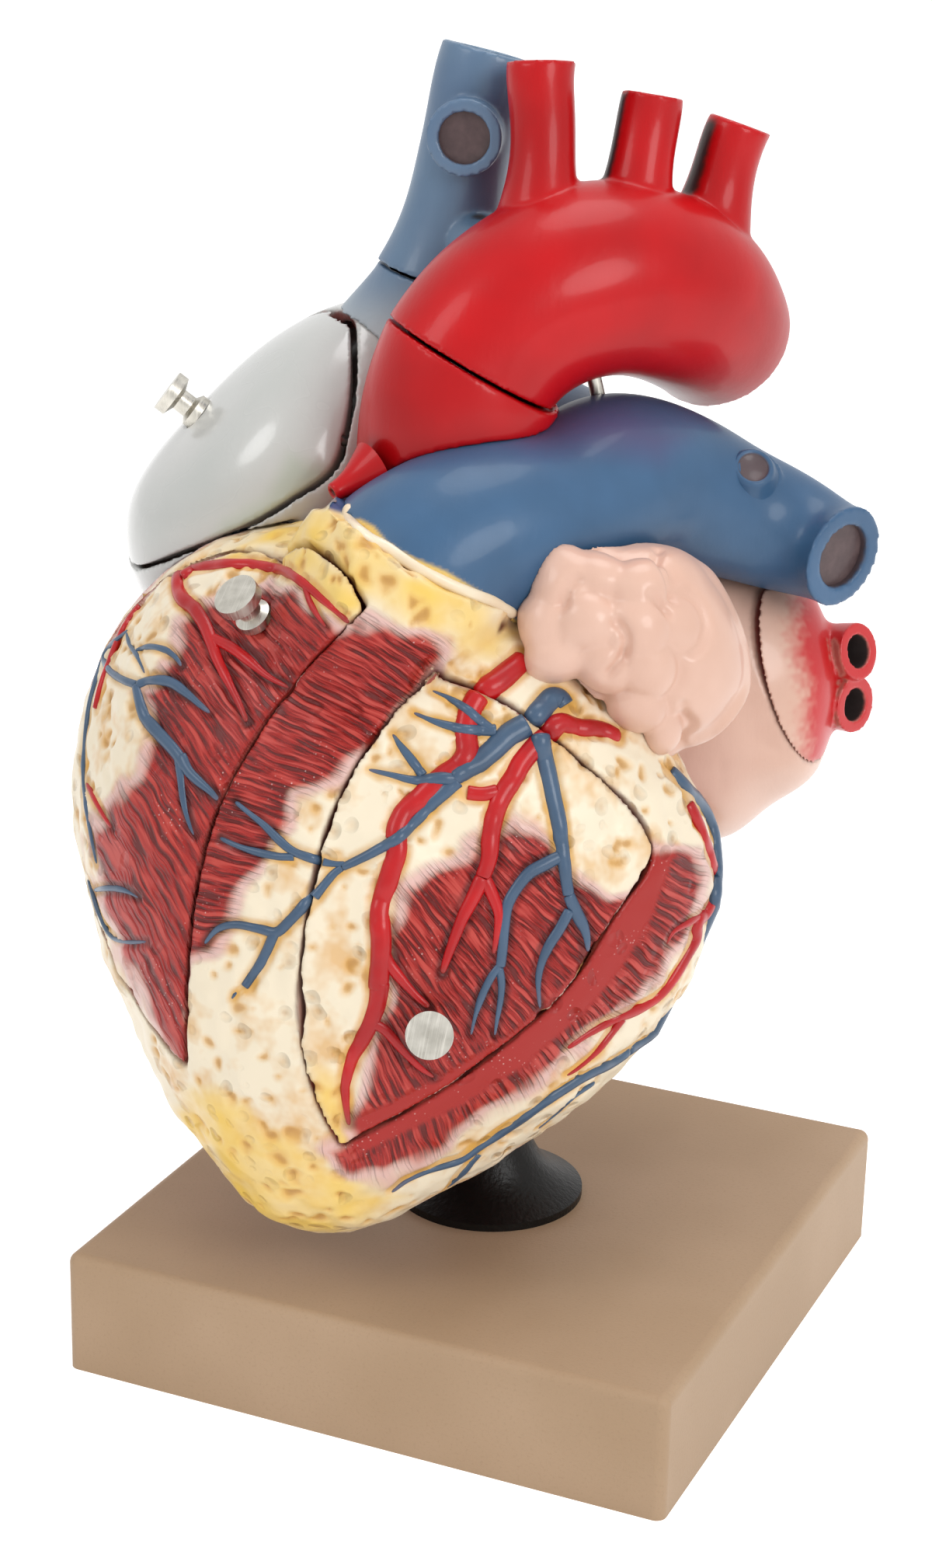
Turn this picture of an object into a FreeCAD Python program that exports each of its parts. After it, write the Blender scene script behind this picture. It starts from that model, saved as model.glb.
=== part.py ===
import FreeCAD, Part
import math
import os
from FreeCAD import Vector

# Human heart anatomy model, about twice life size, on a square base.
# Millimetres and degrees.  +Z is up and the origin is the middle of the underside of the base.
#
# The heart is drawn in its own frame: X to the right of a viewer who faces the front of the
# heart, Y away from that viewer, Z up, and the line of the rod at X = Y = 0.  It is then
# turned on the rod by display_turn.  Its walls lift off: each has a pull direction, and its
# edge is a taper that opens outwards, so that it leaves its seat along that direction.

# ---- stand -------------------------------------------------------------------------------
base_side = 180.0
base_height = 36.0
base_edge_radius = 3.0
base_wall = 4.0
base_boss_radius = 15.0
base_boss_height = 12.0
base_rib_width = 3.0
base_rib_height = 8.0
rod_diameter = 10.0
rod_clearance = 0.1          # on the radius, in every hole that the rod passes through
rod_tail = 14.0              # rod below the boss
rod_rise = 27.0              # rod above the flange's neck
washer_diameter = 21.0
washer_thickness = 2.0
nut_across_flats = 17.0
nut_thickness = 8.0
flange_height = 39.0         # from the top of the base to the top of the neck
socket_wall = 3.0
socket_end_gap = 2.0         # between the rod's end and the bottom of its socket
socket_boss_wall = 4.0       # of the ventricles' casting, round the socket
flange_clearance = 0.6       # between the flange and the heart that turns above it

# ---- heart as a whole --------------------------------------------------------------------
display_turn = 23.66         # how far the heart is turned on its rod
apex_tilt = 42.3             # long axis of the ventricles away from straight down
apex_heading = 29.2          # its lean, to the left of the viewer's side
heart_middle = Vector(13.3, 26.4, 176.5)
glue_line = 0.05             # on the radius, round everything that is cemented in
seam = 1.0                   # least gap between a lift-off wall and what stays behind it

# ---- chambers and vessels ----------------------------------------------------------------
left_wall = 11.0
right_wall = 7.0
septum = 9.0
roof = 12.0                  # of the ventricles, with the four valve openings in it
atrium_wall = 6.0
vessel_wall = 5.5
branch_wall = 3.4
recess_depth = 6.0           # of the dark end of a cut vessel
mitral_radius = 16.0
tricuspid_radius = 17.0
outflow_radius = 18.0        # of the two passages out of the ventricles
leaflet = 1.6

# ---- fittings ----------------------------------------------------------------------------
knob_radius = 6.2
knob_waist = 3.2
knob_height = 11.5
screw_diameter = 3.0
screw_head_radius = 3.0
screw_head_height = 2.0
pin_diameter = 2.5
pin_in_wall = 2.6
pin_in_seat = 4.0
pin_clearance = 0.09         # on the radius, in the seat's hole
pin_inset = 0.985            # of the wall's outline, where its dowels stand
stud_diameter = 4.0
stud_in_arch = 5.0
stud_in_trunk = 7.0
chorda_radius = 0.6

ring_points = 12


# ---- small geometry ----------------------------------------------------------------------
def unit(vector):
    result = Vector(vector)
    result.normalize()
    return result


tilt = math.radians(apex_tilt)
heading = math.radians(apex_heading)
to_apex = Vector(-math.sin(tilt) * math.sin(heading), -math.sin(tilt) * math.cos(heading), -math.cos(tilt))
across = unit(Vector(1, 0, 0) - to_apex * to_apex.x)
to_front = to_apex.cross(across)


def in_ventricles(along, to_right, to_top):
    """A point of the heart, from its place along and beside the ventricles' long axis."""
    return heart_middle + to_apex * along + across * to_right + to_front * to_top


def closed_curve(points):
    curve = Part.BSplineCurve()
    curve.interpolate(Points=points, PeriodicFlag=True)
    return Part.Wire([curve.toShape()])


def oval_ring(centre, right, up, half_right, half_left, half_up, half_down):
    points = []
    for index in range(ring_points):
        angle = 2 * math.pi * index / ring_points
        c, s = math.cos(angle), math.sin(angle)
        points.append(centre + right * (c * (half_right if c > 0 else half_left))
                      + up * (s * (half_up if s > 0 else half_down)))
    return closed_curve(points)


def stack(origin, axis, right, stations, grow=0.0):
    """Solid through ovals square to an axis: along, centre right, centre up, halves right, left, up, down."""
    up = axis.cross(right)
    rings = []
    last = len(stations) - 1
    for index, (along, to_right, to_up, *halves) in enumerate(stations):
        shift = -grow if index == 0 else grow if index == last else 0.0
        centre = origin + axis * (along + shift) + right * to_right + up * to_up
        rings.append(oval_ring(centre, right, up, *[half + grow for half in halves]))
    return Part.makeLoft(rings, True, False)


def tube(path, grow=0.0, start=None, end=None):
    """Solid through round rings square to a path of x, y, z, radius; start and end tilt the end rings."""
    points = [Vector(*step[:3]) for step in path]
    last = len(points) - 1
    rings = []
    side = Vector(0, 1, 0)
    for index, point in enumerate(points):
        along = unit(points[min(index + 1, last)] - points[max(index - 1, 0)])
        if index == 0 and start:
            along = unit(start)
        if index == last and end:
            along = unit(end)
        side = unit(side - along * side.dot(along))
        up = along.cross(side)
        radius = path[index][3] + grow
        rings.append(oval_ring(point, side, up, radius, radius, radius, radius))
    return Part.makeLoft(rings, True, False)


def rod_between(start, end, radius):
    return Part.makeCylinder(radius, (end - start).Length, start, end - start)


def turned_piece(profile, base, axis):
    """Solid of revolution: profile of (radius, height) turned about an axis that leaves base."""
    points = [Vector(radius, 0, height) for radius, height in profile]
    face = Part.Face(Part.makePolygon(points + points[:1]))
    solid = face.revolve(Vector(), Vector(0, 0, 1), 360)
    solid.Placement = FreeCAD.Placement(base, FreeCAD.Rotation(Vector(0, 0, 1), axis))
    return solid


def largest(shape):
    return max(shape.Solids, key=lambda solid: solid.Volume)


def fused(shapes):
    return shapes[0].fuse(shapes[1:]) if len(shapes) > 1 else shapes[0]


def cut(shape, *tools):
    for tool in tools:
        shape = shape.cut(tool)
    return shape


def span_through(shape, start, end):
    """The first and last points of shape on a straight line."""
    inside = Part.makeLine(start, end).common(shape)
    points = [vertex.Point for vertex in inside.Vertexes]
    points.sort(key=lambda point: (point - start).Length)
    return points[0], points[-1]


# ---- ventricles --------------------------------------------------------------------------
# Ovals along the long axis: along, centre right, centre front, half across, half front, half back.
ventricle_stations = (
    (-8, -41, 22, 52, 46, 56),
    (0, -39, 20, 63, 56, 60),
    (24, -31, 18, 87, 68, 68),
    (49, -27, 15, 93, 70, 70),
    (78, -25, 11, 87, 67, 68),
    (108, -23, 7, 71, 58, 55),
    (132, -21, 4, 51, 46, 46),
    (149, -18, 2, 34, 32, 31),
    (159, -15, 0, 20, 19, 18),
    (164, -14, 0, 7, 7, 6),
)
# Place of the septum across the heart: along, right.
septum_line = ((-8, -36), (24, -38), (49, -43), (78, -47), (108, -43), (132, -34), (164, -30))
conus_path = ((-46, -29, 188, 24), (-38, -31, 204, 30), (-30, -31, 222, 31), (-22, -30, 238, 30))
conus_end = Vector(0.48, 0, 0.88)
trunk_path = (
    (-30, -31, 218, 26), (-24, -30, 230, 27.5), (-10, -25, 238.5, 26), (6, -15, 241.5, 25),
    (18, -5, 244.5, 24.5), (30, 6, 248, 24.5), (42, 14, 246, 22.5), (52, 18, 242, 21),
    (63, 20, 237.5, 19), (74, 20, 233.5, 17.5), (85, 16, 230, 15.5), (96, 8, 227, 14.5))
aorta_seam = Vector(-10.5, -2, 282)
aorta_seam_normal = unit(Vector(0.48, 0.09, 0.87))
aorta_radius = 25.0
aorta_path = ((-13, 0, 200, 22), (-16, 4, 218, 23.5), (-17, 3.5, 236, 24.5), (-15.5, 0, 256, 25.5),
              (-12.5, -1.8, 273, 26.3))


def between(table, along, column):
    """A value of a table of stations at any place along the axis."""
    for lower, upper in zip(table, table[1:]):
        if along <= upper[0]:
            share = (along - lower[0]) / (upper[0] - lower[0])
            return lower[column] + share * (upper[column] - lower[column])
    return table[-1][column]


def ventricle_mass(grow=0.0):
    stations = [(along, right, front, half, half, up, down)
                for along, right, front, half, up, down in ventricle_stations]
    body = stack(heart_middle, to_apex, across, stations, grow)
    conus = tube(conus_path, grow, end=conus_end)
    return body.fuse(conus)


def chamber(left_side, places, wall, fullness):
    """Hollow of one ventricle: ovals between the outer wall and the septum."""
    stations = []
    for along, size in places:
        centre, half = between(ventricle_stations, along, 1), between(ventricle_stations, along, 3)
        middle = between(septum_line, along, 1)
        if left_side:
            low, high = centre - half + wall, middle - septum / 2
        else:
            low, high = middle + septum / 2, centre + half - wall
        place = (low + high) / 2
        height = math.sqrt(1 - ((place - centre) / half) ** 2)
        up = (between(ventricle_stations, along, 4) * height - wall) * fullness
        down = (between(ventricle_stations, along, 5) * height - wall) * fullness
        width = (high - low) / 2 * size
        stations.append((along, place, between(ventricle_stations, along, 2), width, width, up * size, down * size))
    return stack(heart_middle, to_apex, across, stations)


def left_chamber():
    start = roof + ventricle_stations[0][0]
    return chamber(False, ((start, 0.8), (14, 0.94), (30, 1), (55, 1), (80, 1), (105, 1), (125, 1), (138, 0.85), (145, 0.5)),
                   left_wall, 0.97)


def right_chamber():
    start = roof + ventricle_stations[0][0]
    return chamber(True, ((start, 0.75), (14, 0.92), (30, 1), (55, 1), (80, 1), (105, 1), (122, 0.9), (132, 0.6)),
                   right_wall, 0.92)


pulmonary_passage_path = ((-66, -20, 188, 14), (-52, -27, 202, 17), (-40, -30, 214, outflow_radius),
                          (-30, -31, 226, outflow_radius), (-20, -30, 241, outflow_radius))
aortic_passage_path = ((6, -8, 172, 14), (-4, -4, 188, 16), (-12, 1, 204, outflow_radius), (-17, 5, 226, outflow_radius))
mitral_place = (-5, -6)
tricuspid_place = (-70, 10)
orifice_reach = 30.0


def orifice(place, radius):
    start = in_ventricles(-orifice_reach, *place)
    return Part.makeCylinder(radius, 2 * orifice_reach, start, to_apex)


def ventricle_casting(mass):
    return cut(mass, left_chamber(), right_chamber(), tube(pulmonary_passage_path), tube(aortic_passage_path),
               orifice(mitral_place, mitral_radius), orifice(tricuspid_place, tricuspid_radius))


# ---- great vessels -----------------------------------------------------------------------
lung_artery_path = ((34, 14, 249, 15), (22, 36, 253, 13.5), (8, 58, 257, 12.5), (-10, 76, 260, 12), (-32, 88, 262, 11.5))
lobe_branch_path = ((65, 20, 238, 9), (66.5, 15, 245, 8.5), (67.6, 10, 251, 8.2))
arch_path = ((1, 2, 294.5, 25.3), (13, 6, 301, 25.8), (26, 12, 303, 26), (39, 20, 300, 25.5),
             (51, 32, 292, 24), (59, 47, 281.5, 21.5))
arch_branch_paths = (
    ((7, 9, 306, 18), (7, 9, 317, 13), (7, 10, 326, 10), (7.3, 12, 335, 8.8), (6.8, 14, 347, 8.8), (6.4, 16, 359, 9.2)),
    ((30, 15, 306, 17), (32, 17, 317, 12.5), (33, 18, 326, 9.8), (34.2, 20, 335, 8.7), (36.5, 22, 350.5, 8.2)),
    ((50, 27, 300, 16), (53, 30, 312, 12.5), (55.5, 32, 321, 10), (57.5, 33, 330, 8.9), (61.4, 34, 342, 8.7)))
cava_path = ((-20.3, 41, 298, 17.3), (-17, 41, 311, 14.5), (-14.3, 41, 326, 13), (-11.3, 41, 343, 13), (-7.4, 42, 359, 13))
cava_stub_path = ((-11.5, 41, 337, 9), (-12.5, 31, 338, 9.5), (-13.8, 21, 338, 10.4))
cava_web_path = ((-17, 41, 311, 9), (3, 10, 303, 9))
cava_stump_path = ((-50, 47, 262, 15), (-39, 45, 274, 15.5), (-28, 42.8, 286, 16), (-20.55, 41, 297, 17))
cava_seam_normal = Vector(3.3, 0, 13)
lower_cava_path = ((-74, 62, 222, 17), (-73, 76, 200, 16), (-71, 84, 172, 15.5))


def aorta_top():
    return aorta_seam - aorta_seam_normal * seam


def ascending_path(radius_cut=0.0):
    steps = [(x, y, z, radius - radius_cut) for x, y, z, radius in aorta_path]
    top = aorta_top()
    return steps + [(top.x, top.y, top.z, aorta_radius - radius_cut)]


def narrowed(path, by):
    return [(x, y, z, radius - by) for x, y, z, radius in path]


def stretched(path, end=-1, by=3.0):
    """A path with one more step beyond its last step, or its first where end is 0."""
    last = Vector(*path[end][:3])
    beyond = last + unit(last - Vector(*path[-2 if end else 1][:3])) * by
    step = (beyond.x, beyond.y, beyond.z, path[end][3])
    return list(path) + [step] if end else [step] + list(path)


def end_recess(path, wall, depth):
    """Short blind bore in the last end of a vessel."""
    end, before = Vector(*path[-1][:3]), Vector(*path[-2][:3])
    inward = unit(before - end)
    return Part.makeCylinder(path[-1][3] - wall, depth + 1, end - inward, inward)


def pulmonary_trunk(mass):
    outer = fused([tube(trunk_path), tube(lung_artery_path), tube(lobe_branch_path)])
    bore = fused([tube(narrowed(trunk_path[:-2], vessel_wall)), tube(narrowed(lung_artery_path[:-1], vessel_wall))])
    return largest(cut(outer, mass, bore, end_recess(trunk_path, vessel_wall, recess_depth),
                       end_recess(lung_artery_path, vessel_wall, recess_depth),
                       end_recess(lobe_branch_path, branch_wall + 0.5, recess_depth)))


def ascending_outer(grow=0.0):
    return tube(ascending_path(-grow), end=aorta_seam_normal)


def ascending_aorta(mass, trunk_outer):
    past = aorta_top() + aorta_seam_normal * 3
    bore = tube(ascending_path(vessel_wall) + [(past.x, past.y, past.z, aorta_radius - vessel_wall)],
                end=aorta_seam_normal)
    return largest(cut(ascending_outer(), bore, mass, trunk_outer))


def aortic_arch():
    start = (aorta_seam.x, aorta_seam.y, aorta_seam.z, aorta_radius)
    path = (start,) + arch_path
    outer = fused([tube(path, start=aorta_seam_normal)] + [tube(branch) for branch in arch_branch_paths])
    bore = tube(stretched(stretched(narrowed(path, vessel_wall)), 0), start=aorta_seam_normal)
    recesses = [end_recess(branch, branch_wall, recess_depth) for branch in arch_branch_paths]
    return largest(cut(outer, bore, *recesses))


def upper_cava(arch):
    outer = fused([tube(cava_path), tube(cava_stub_path), tube(cava_web_path)])
    bore = tube(stretched(stretched(narrowed(cava_path, branch_wall)), 0))
    return largest(cut(outer, arch, bore, end_recess(cava_stub_path, branch_wall, recess_depth)))


# ---- atria -------------------------------------------------------------------------------
right_atrium_middle = Vector(-65, 48, 243)
right_atrium_axis = unit(Vector(0.62, 0, 0.78))
right_atrium_across = unit(Vector(0.78, 0, -0.62))
right_atrium_stations = (
    (-56, 2, 0, 10, 10, 10, 10), (-50, 2, 0, 24, 18, 22, 22), (-36, 0, 0, 40, 26, 34, 34), (-15, 0, 0, 47, 28, 43, 43),
    (10, 0, 0, 43, 26, 44, 44), (32, 0, 0, 31, 21, 34, 34), (46, 0, 0, 21, 14, 22, 22), (53, 0, 0, 10, 7, 10, 10))
left_atrium_middle = Vector(30, 46, 182)
left_atrium_stations = (
    (-62, 0, 0, 10, 10, 10, 10), (-56, 0, 0, 22, 22, 20, 20), (-40, 0, 0, 36, 36, 34, 34), (-10, 0, 0, 45, 45, 45, 44),
    (25, 0, 0, 45, 45, 46, 49), (48, -5, 0, 36, 36, 38, 45), (60, -10, 0, 24, 24, 26, 31), (67, -12, 0, 8, 8, 10, 12))
auricle_middle = Vector(33, -26, 215)
auricle_axis = unit(Vector(0.6, 0.1, -0.5))
auricle_right = unit(Vector(0, -1, 0) + auricle_axis * auricle_axis.y)
auricle_stations = (
    (-34, 0, 4, 8, 8, 7, 12), (-31, 0, 4, 16, 16, 12, 18), (-24, 0, 3, 22, 24, 16, 24), (-8, 0, 0, 27, 29, 23, 28),
    (12, 0, 0, 26, 28, 24, 26), (28, 0, 0, 20, 20, 18, 18), (36, 0, 0, 10, 10, 10, 10))
left_vein_paths = (((84, 36, 191, 8.6), (94, 33, 193, 8.4), (102, 25, 196, 8.2)),
                   ((84, 36, 178.5, 8.6), (94, 33, 179, 8.4), (102, 25, 180, 8.2)))
right_vein_paths = (((0, 72, 196, 8), (-18, 88, 199, 8), (-30, 98, 201, 8)),
                    ((0, 72, 174, 8), (-18, 88, 173, 8), (-30, 98, 172, 8)))


def thinner(stations, wall):
    """Stations of the hollow inside a stack, its ends brought in by the wall too."""
    inner = [(along, right, up, *[half - wall for half in halves])
             for along, right, up, *halves in stations if min(halves) > 1.7 * wall]
    return inner


def right_atrium_outer(grow=0.0):
    return stack(right_atrium_middle, right_atrium_axis, right_atrium_across, right_atrium_stations, grow)


def left_atrium_outer(grow=0.0):
    return stack(left_atrium_middle, Vector(1, 0, 0), Vector(0, 1, 0), left_atrium_stations, grow)


def auricle_outer(grow=0.0):
    return stack(auricle_middle, auricle_axis, auricle_right, auricle_stations, grow)


# ---- tapered plugs that the lift-off walls are cut with -----------------------------------
# middle, pull direction, distance of the taper's point behind the middle, reach below and above
# the middle, how far the wall's taper stands back from its seat's, and the outline: runs from
# corner to corner, as right and up in the plane through the middle.
left_wall_plug = dict(
    middle=Vector(-5, -84, 150), pull=Vector(0, -0.914, 0.407), taper=100.0, below=46.0, above=30.0, stand_back=2.2,
    outline=(((-13, 68.5), (4, 63.5), (23, 53), (37, 45.5), (50, 38.5), (55.5, 32)),
             ((55.5, 32), (54.5, 25), (45, 12), (32, -9.5), (16.5, -27), (-13, -50.5), (-46, -72.5)),
             ((-46, -72.5), (-49.5, -57), (-51.5, -38), (-50.5, -16), (-47, 3), (-42, 22), (-36, 37), (-28, 51), (-13, 68.5))),
    pins=((23, 53), (-51.5, -38)))
right_wall_plug = dict(
    middle=Vector(-95, -38, 170), pull=Vector(-0.62, -0.70, 0.35), taper=88.0, below=33.0, above=34.0, stand_back=2.6,
    outline=(((60, 65.5), (53, 55), (43.5, 42), (36, 25), (32, 10), (29.8, -3), (29.5, -16), (31.4, -42), (34, -76)),
             ((34, -76), (14, -67), (-4, -55.5), (-23, -40), (-40, -18), (-49, 5), (-50, 25), (-44, 42), (-33, 56)),
             ((-33, 56), (-18, 69), (0, 79), (20, 80), (40, 74.5), (51, 70.5), (60, 65.5))),
    pins=((32, 10), (-40, -18)))
right_atrium_plug = dict(
    middle=Vector(-85, 20, 255), pull=Vector(-0.75, -0.45, 0.48), taper=70.0, below=44.0, above=20.0, stand_back=2.4,
    outline=(((1, 74), (13, 71.5), (22, 64), (35.8, 48), (46, 27), (48, 12), (41, -3), (28.6, -18.5), (9, -33), (-13, -45),
              (-30, -49), (-46, -42), (-57, -22), (-58, 5), (-50, 32), (-33, 57), (-16, 70), (1, 74)),),
    pins=((46, 27), (-58, 5)))
vein_wall_point = Vector(74.1, 18, 209.4)
vein_wall_seam = unit(Vector(0.84, -0.46, 0.32))
vein_wall_pull = unit(Vector(0.87, -0.47, -0.14))
vein_pin_angles = (20, 200)


def plug_frame(spec):
    pull = unit(spec["pull"])
    right = unit(Vector(0, 0, 1).cross(pull))
    return pull, right, pull.cross(right)


def plug(spec, shift=0.0):
    pull, right, up = plug_frame(spec)
    wires = []
    for level in (-spec["below"], spec["above"]):
        scale = 1 + level / spec["taper"]
        centre = spec["middle"] + pull * (level + shift)
        edges = []
        for run in spec["outline"]:
            points = [centre + (right * u + up * v) * scale for u, v in run]
            curve = Part.BSplineCurve()
            if len(spec["outline"]) == 1:
                curve.interpolate(Points=points[:-1], PeriodicFlag=True)
            else:
                curve.interpolate(Points=points)
            edges.append(curve.toShape())
        wires.append(Part.Wire(edges))
    return Part.makeLoft(wires, True, True)


def pin_across(wall, seat, spot, pull):
    """A dowel fixed in the wall at spot, with its hole in the seat behind."""
    start, end = spot + pull * pin_in_wall, spot - pull * pin_in_seat
    radius = pin_diameter / 2
    pin = rod_between(start, end, radius)
    wall = cut(wall, rod_between(start + pull * glue_line, end, radius + glue_line))
    seat = cut(seat, rod_between(start, end - pull, radius + pin_clearance))
    return wall, seat, pin


def fit_pins(wall, seat, spec):
    """Dowels along the pull direction, in the tapered joint between a wall and its seat."""
    pull, right, up = plug_frame(spec)
    tip = spec["middle"] - pull * (spec["taper"] - spec["stand_back"])
    pins = []
    for u, v in spec["pins"]:
        toward = pull * spec["taper"] + (right * u + up * v) * pin_inset
        inner, outer = span_through(wall, tip + toward * 0.2, tip + toward * 1.5)
        wall, seat, pin = pin_across(wall, seat, (inner + outer) * 0.5, pull)
        pins.append(pin)
    return wall, seat, pins


def fit_vein_wall_pins(wall, seat, filled):
    """Dowels in the flat seam of the left atrium's wall, half way through its thickness."""
    section = filled.common(Part.Face(Part.Wire([Part.makeCircle(90, vein_wall_point, vein_wall_seam)])))
    centre = section.CenterOfMass
    level = unit(Vector(0, 0, 1).cross(vein_wall_seam))
    steep = vein_wall_seam.cross(level)
    pins = []
    for degrees in vein_pin_angles:
        angle = math.radians(degrees)
        outward = level * math.cos(angle) + steep * math.sin(angle)
        inner, outer = span_through(wall, centre + vein_wall_seam * 0.5, centre + vein_wall_seam * 0.5 + outward * 80)
        wall, seat, pin = pin_across(wall, seat, (inner + outer) * 0.5, vein_wall_pull)
        pins.append(pin)
    return wall, seat, pins


knob_bore = screw_diameter / 2 + glue_line
knob_foot = 5.0
thread_end = 6.5
knob_profile = (
    (knob_bore, 0), (knob_foot, 0), (knob_foot, 2.4), (knob_waist, 3.6), (knob_waist, 7.2), (knob_radius, 8.4),
    (knob_radius, knob_height), (0, knob_height), (0, thread_end), (knob_bore, thread_end))
knob_sink = 0.8              # of the knob and of the screw's head into the wall
knob_places = {
    "right_ventricle_wall": (Vector(-65.6, -38.6, 220.1), Vector(-0.45, -0.5, 0.74)),
    "left_ventricle_wall": (Vector(-17.3, -85.8, 122.9), Vector(0.01, -0.914, 0.405)),
    "right_atrium_wall": (Vector(-87.6, 39.5, 257.5), Vector(-0.8, 0, 0.6)),
}


def fit_knob(wall, target, axis):
    """A knob on the outside of a wall, held by a screw from the inside."""
    axis = unit(axis)
    inner, outer = span_through(wall, target - axis * 14, target + axis * 30)
    seat = outer - axis * knob_sink
    head_seat = inner + axis * knob_sink
    wall = cut(wall, rod_between(seat, seat + axis * 12, knob_foot + 0.3),
               rod_between(head_seat, head_seat - axis * 12, screw_head_radius + 0.3),
               rod_between(head_seat, seat, screw_diameter / 2 + glue_line))
    knob = turned_piece(knob_profile, seat, axis)
    screw = rod_between(head_seat, seat + axis * (thread_end - 1), screw_diameter / 2).fuse(
        rod_between(head_seat - axis * screw_head_height, head_seat, screw_head_radius))
    return largest(wall), knob, screw


# ---- valves ------------------------------------------------------------------------------
valve_depth = 1.05           # of the hanging leaflets, as a share of the opening's radius
valve_narrowing = 0.55
slit_half = 2.4
pocket_share = 0.46          # radius of a pocket, and its distance from the axis, as shares of the opening's
pocket_place = 0.5
papillary_radius = 6.5
papillary_tip_radius = 3.0
papillary_reach = 0.58       # from the wall to the leaflets' edge
# name, place across, radius, leaflets, feet of its papillary muscles: along, right, front.
hanging_valves = (
    ("mitral_valve", mitral_place, mitral_radius, 2, ((92, 22, 26), (92, 20, -26))),
    ("tricuspid_valve", tricuspid_place, tricuspid_radius, 3, ((76, -92, 20), (88, -70, -26), (66, -60, 40))))
pulmonary_valve_place = (Vector(-36, -30.4, 218.8), unit(Vector(10, -1, 12)))
aortic_valve_place = (Vector(-14, 2.6, 212), unit(Vector(-5, 4, 22)))


def placed(shape, base, axis):
    shape = shape.copy()
    shape.Placement = FreeCAD.Placement(base, FreeCAD.Rotation(Vector(0, 0, 1), axis))
    return shape


def pocket_valve(radius, base, axis):
    """Ring with three pocket cusps that open along the flow."""
    outer = radius - glue_line
    ring = Part.makeCylinder(outer, 6).cut(Part.makeCylinder(outer - leaflet, 6))
    pocket_radius = radius * pocket_share
    rim_height = 5.4
    bowls, hollows = [], []
    for index in range(3):
        angle = math.radians(90 + 120 * index)
        centre = Vector(math.cos(angle), math.sin(angle), 0) * (radius * pocket_place) + Vector(0, 0, rim_height)
        bowls.append(Part.makeSphere(pocket_radius, centre))
        hollows.append(Part.makeSphere(pocket_radius - leaflet, centre))
    cusps = fused(bowls).common(Part.makeCylinder(outer - leaflet / 2, rim_height + radius, Vector(0, 0, -radius)))
    return placed(largest(cut(ring.fuse(cusps), *hollows)), base, axis)


def papillary_cone(foot, rim_middle):
    toward = unit(rim_middle - foot)
    length = (rim_middle - foot).Length * papillary_reach
    start = foot - toward * 10
    return Part.makeCone(papillary_radius, papillary_tip_radius, length + 10, start, toward), foot + toward * length


def hanging_valve(radius, leaflets, base, feet):
    """Ring with leaflets that hang into the ventricle, and the cords from their edge to the papillary muscles."""
    outer = radius - glue_line
    length = radius * valve_depth
    rim = radius * valve_narrowing
    ring = Part.makeCylinder(outer, 5, Vector(0, 0, -5)).cut(Part.makeCylinder(outer - leaflet - 0.6, 5, Vector(0, 0, -5)))
    top = outer - 0.4
    skirt = Part.makeCone(top, rim, length).cut(Part.makeCone(top - leaflet, rim - leaflet, length))
    for index in range(leaflets):
        slit = Part.makeBox(2 * slit_half, radius, length, Vector(-slit_half, 0, length * 0.4))
        slit.rotate(Vector(), Vector(0, 0, 1), 360 * index / leaflets + 15)
        skirt = cut(skirt, slit)
    valve = placed(ring.fuse(skirt), base, to_apex)
    rim_middle = base + to_apex * length
    cords = []
    for foot in feet:
        tip = papillary_cone(foot, rim_middle)[1]
        sideways = foot - rim_middle
        sideways = unit(sideways - to_apex * sideways.dot(to_apex))
        for degrees in (-75, -30, 15, 60):
            angle = math.radians(degrees)
            outward = sideways * math.cos(angle) + to_apex.cross(sideways) * math.sin(angle)
            end = base + to_apex * (length - 1.2) + outward * (rim - leaflet * 0.4)
            cords.append(rod_between(tip + outward * 1.2, end, chorda_radius))
    return largest(fused([valve] + cords))


# ---- stand -------------------------------------------------------------------------------
flange_radius = 27.5
flange_rim = 2.2
flange_neck_radius = 8.0
# Between the rim and the neck: radius, height above the base.
flange_steps = ((23, 4.5), (17.5, 8.5), (13.2, 15), (10.4, 24), (8.8, 33))


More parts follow.
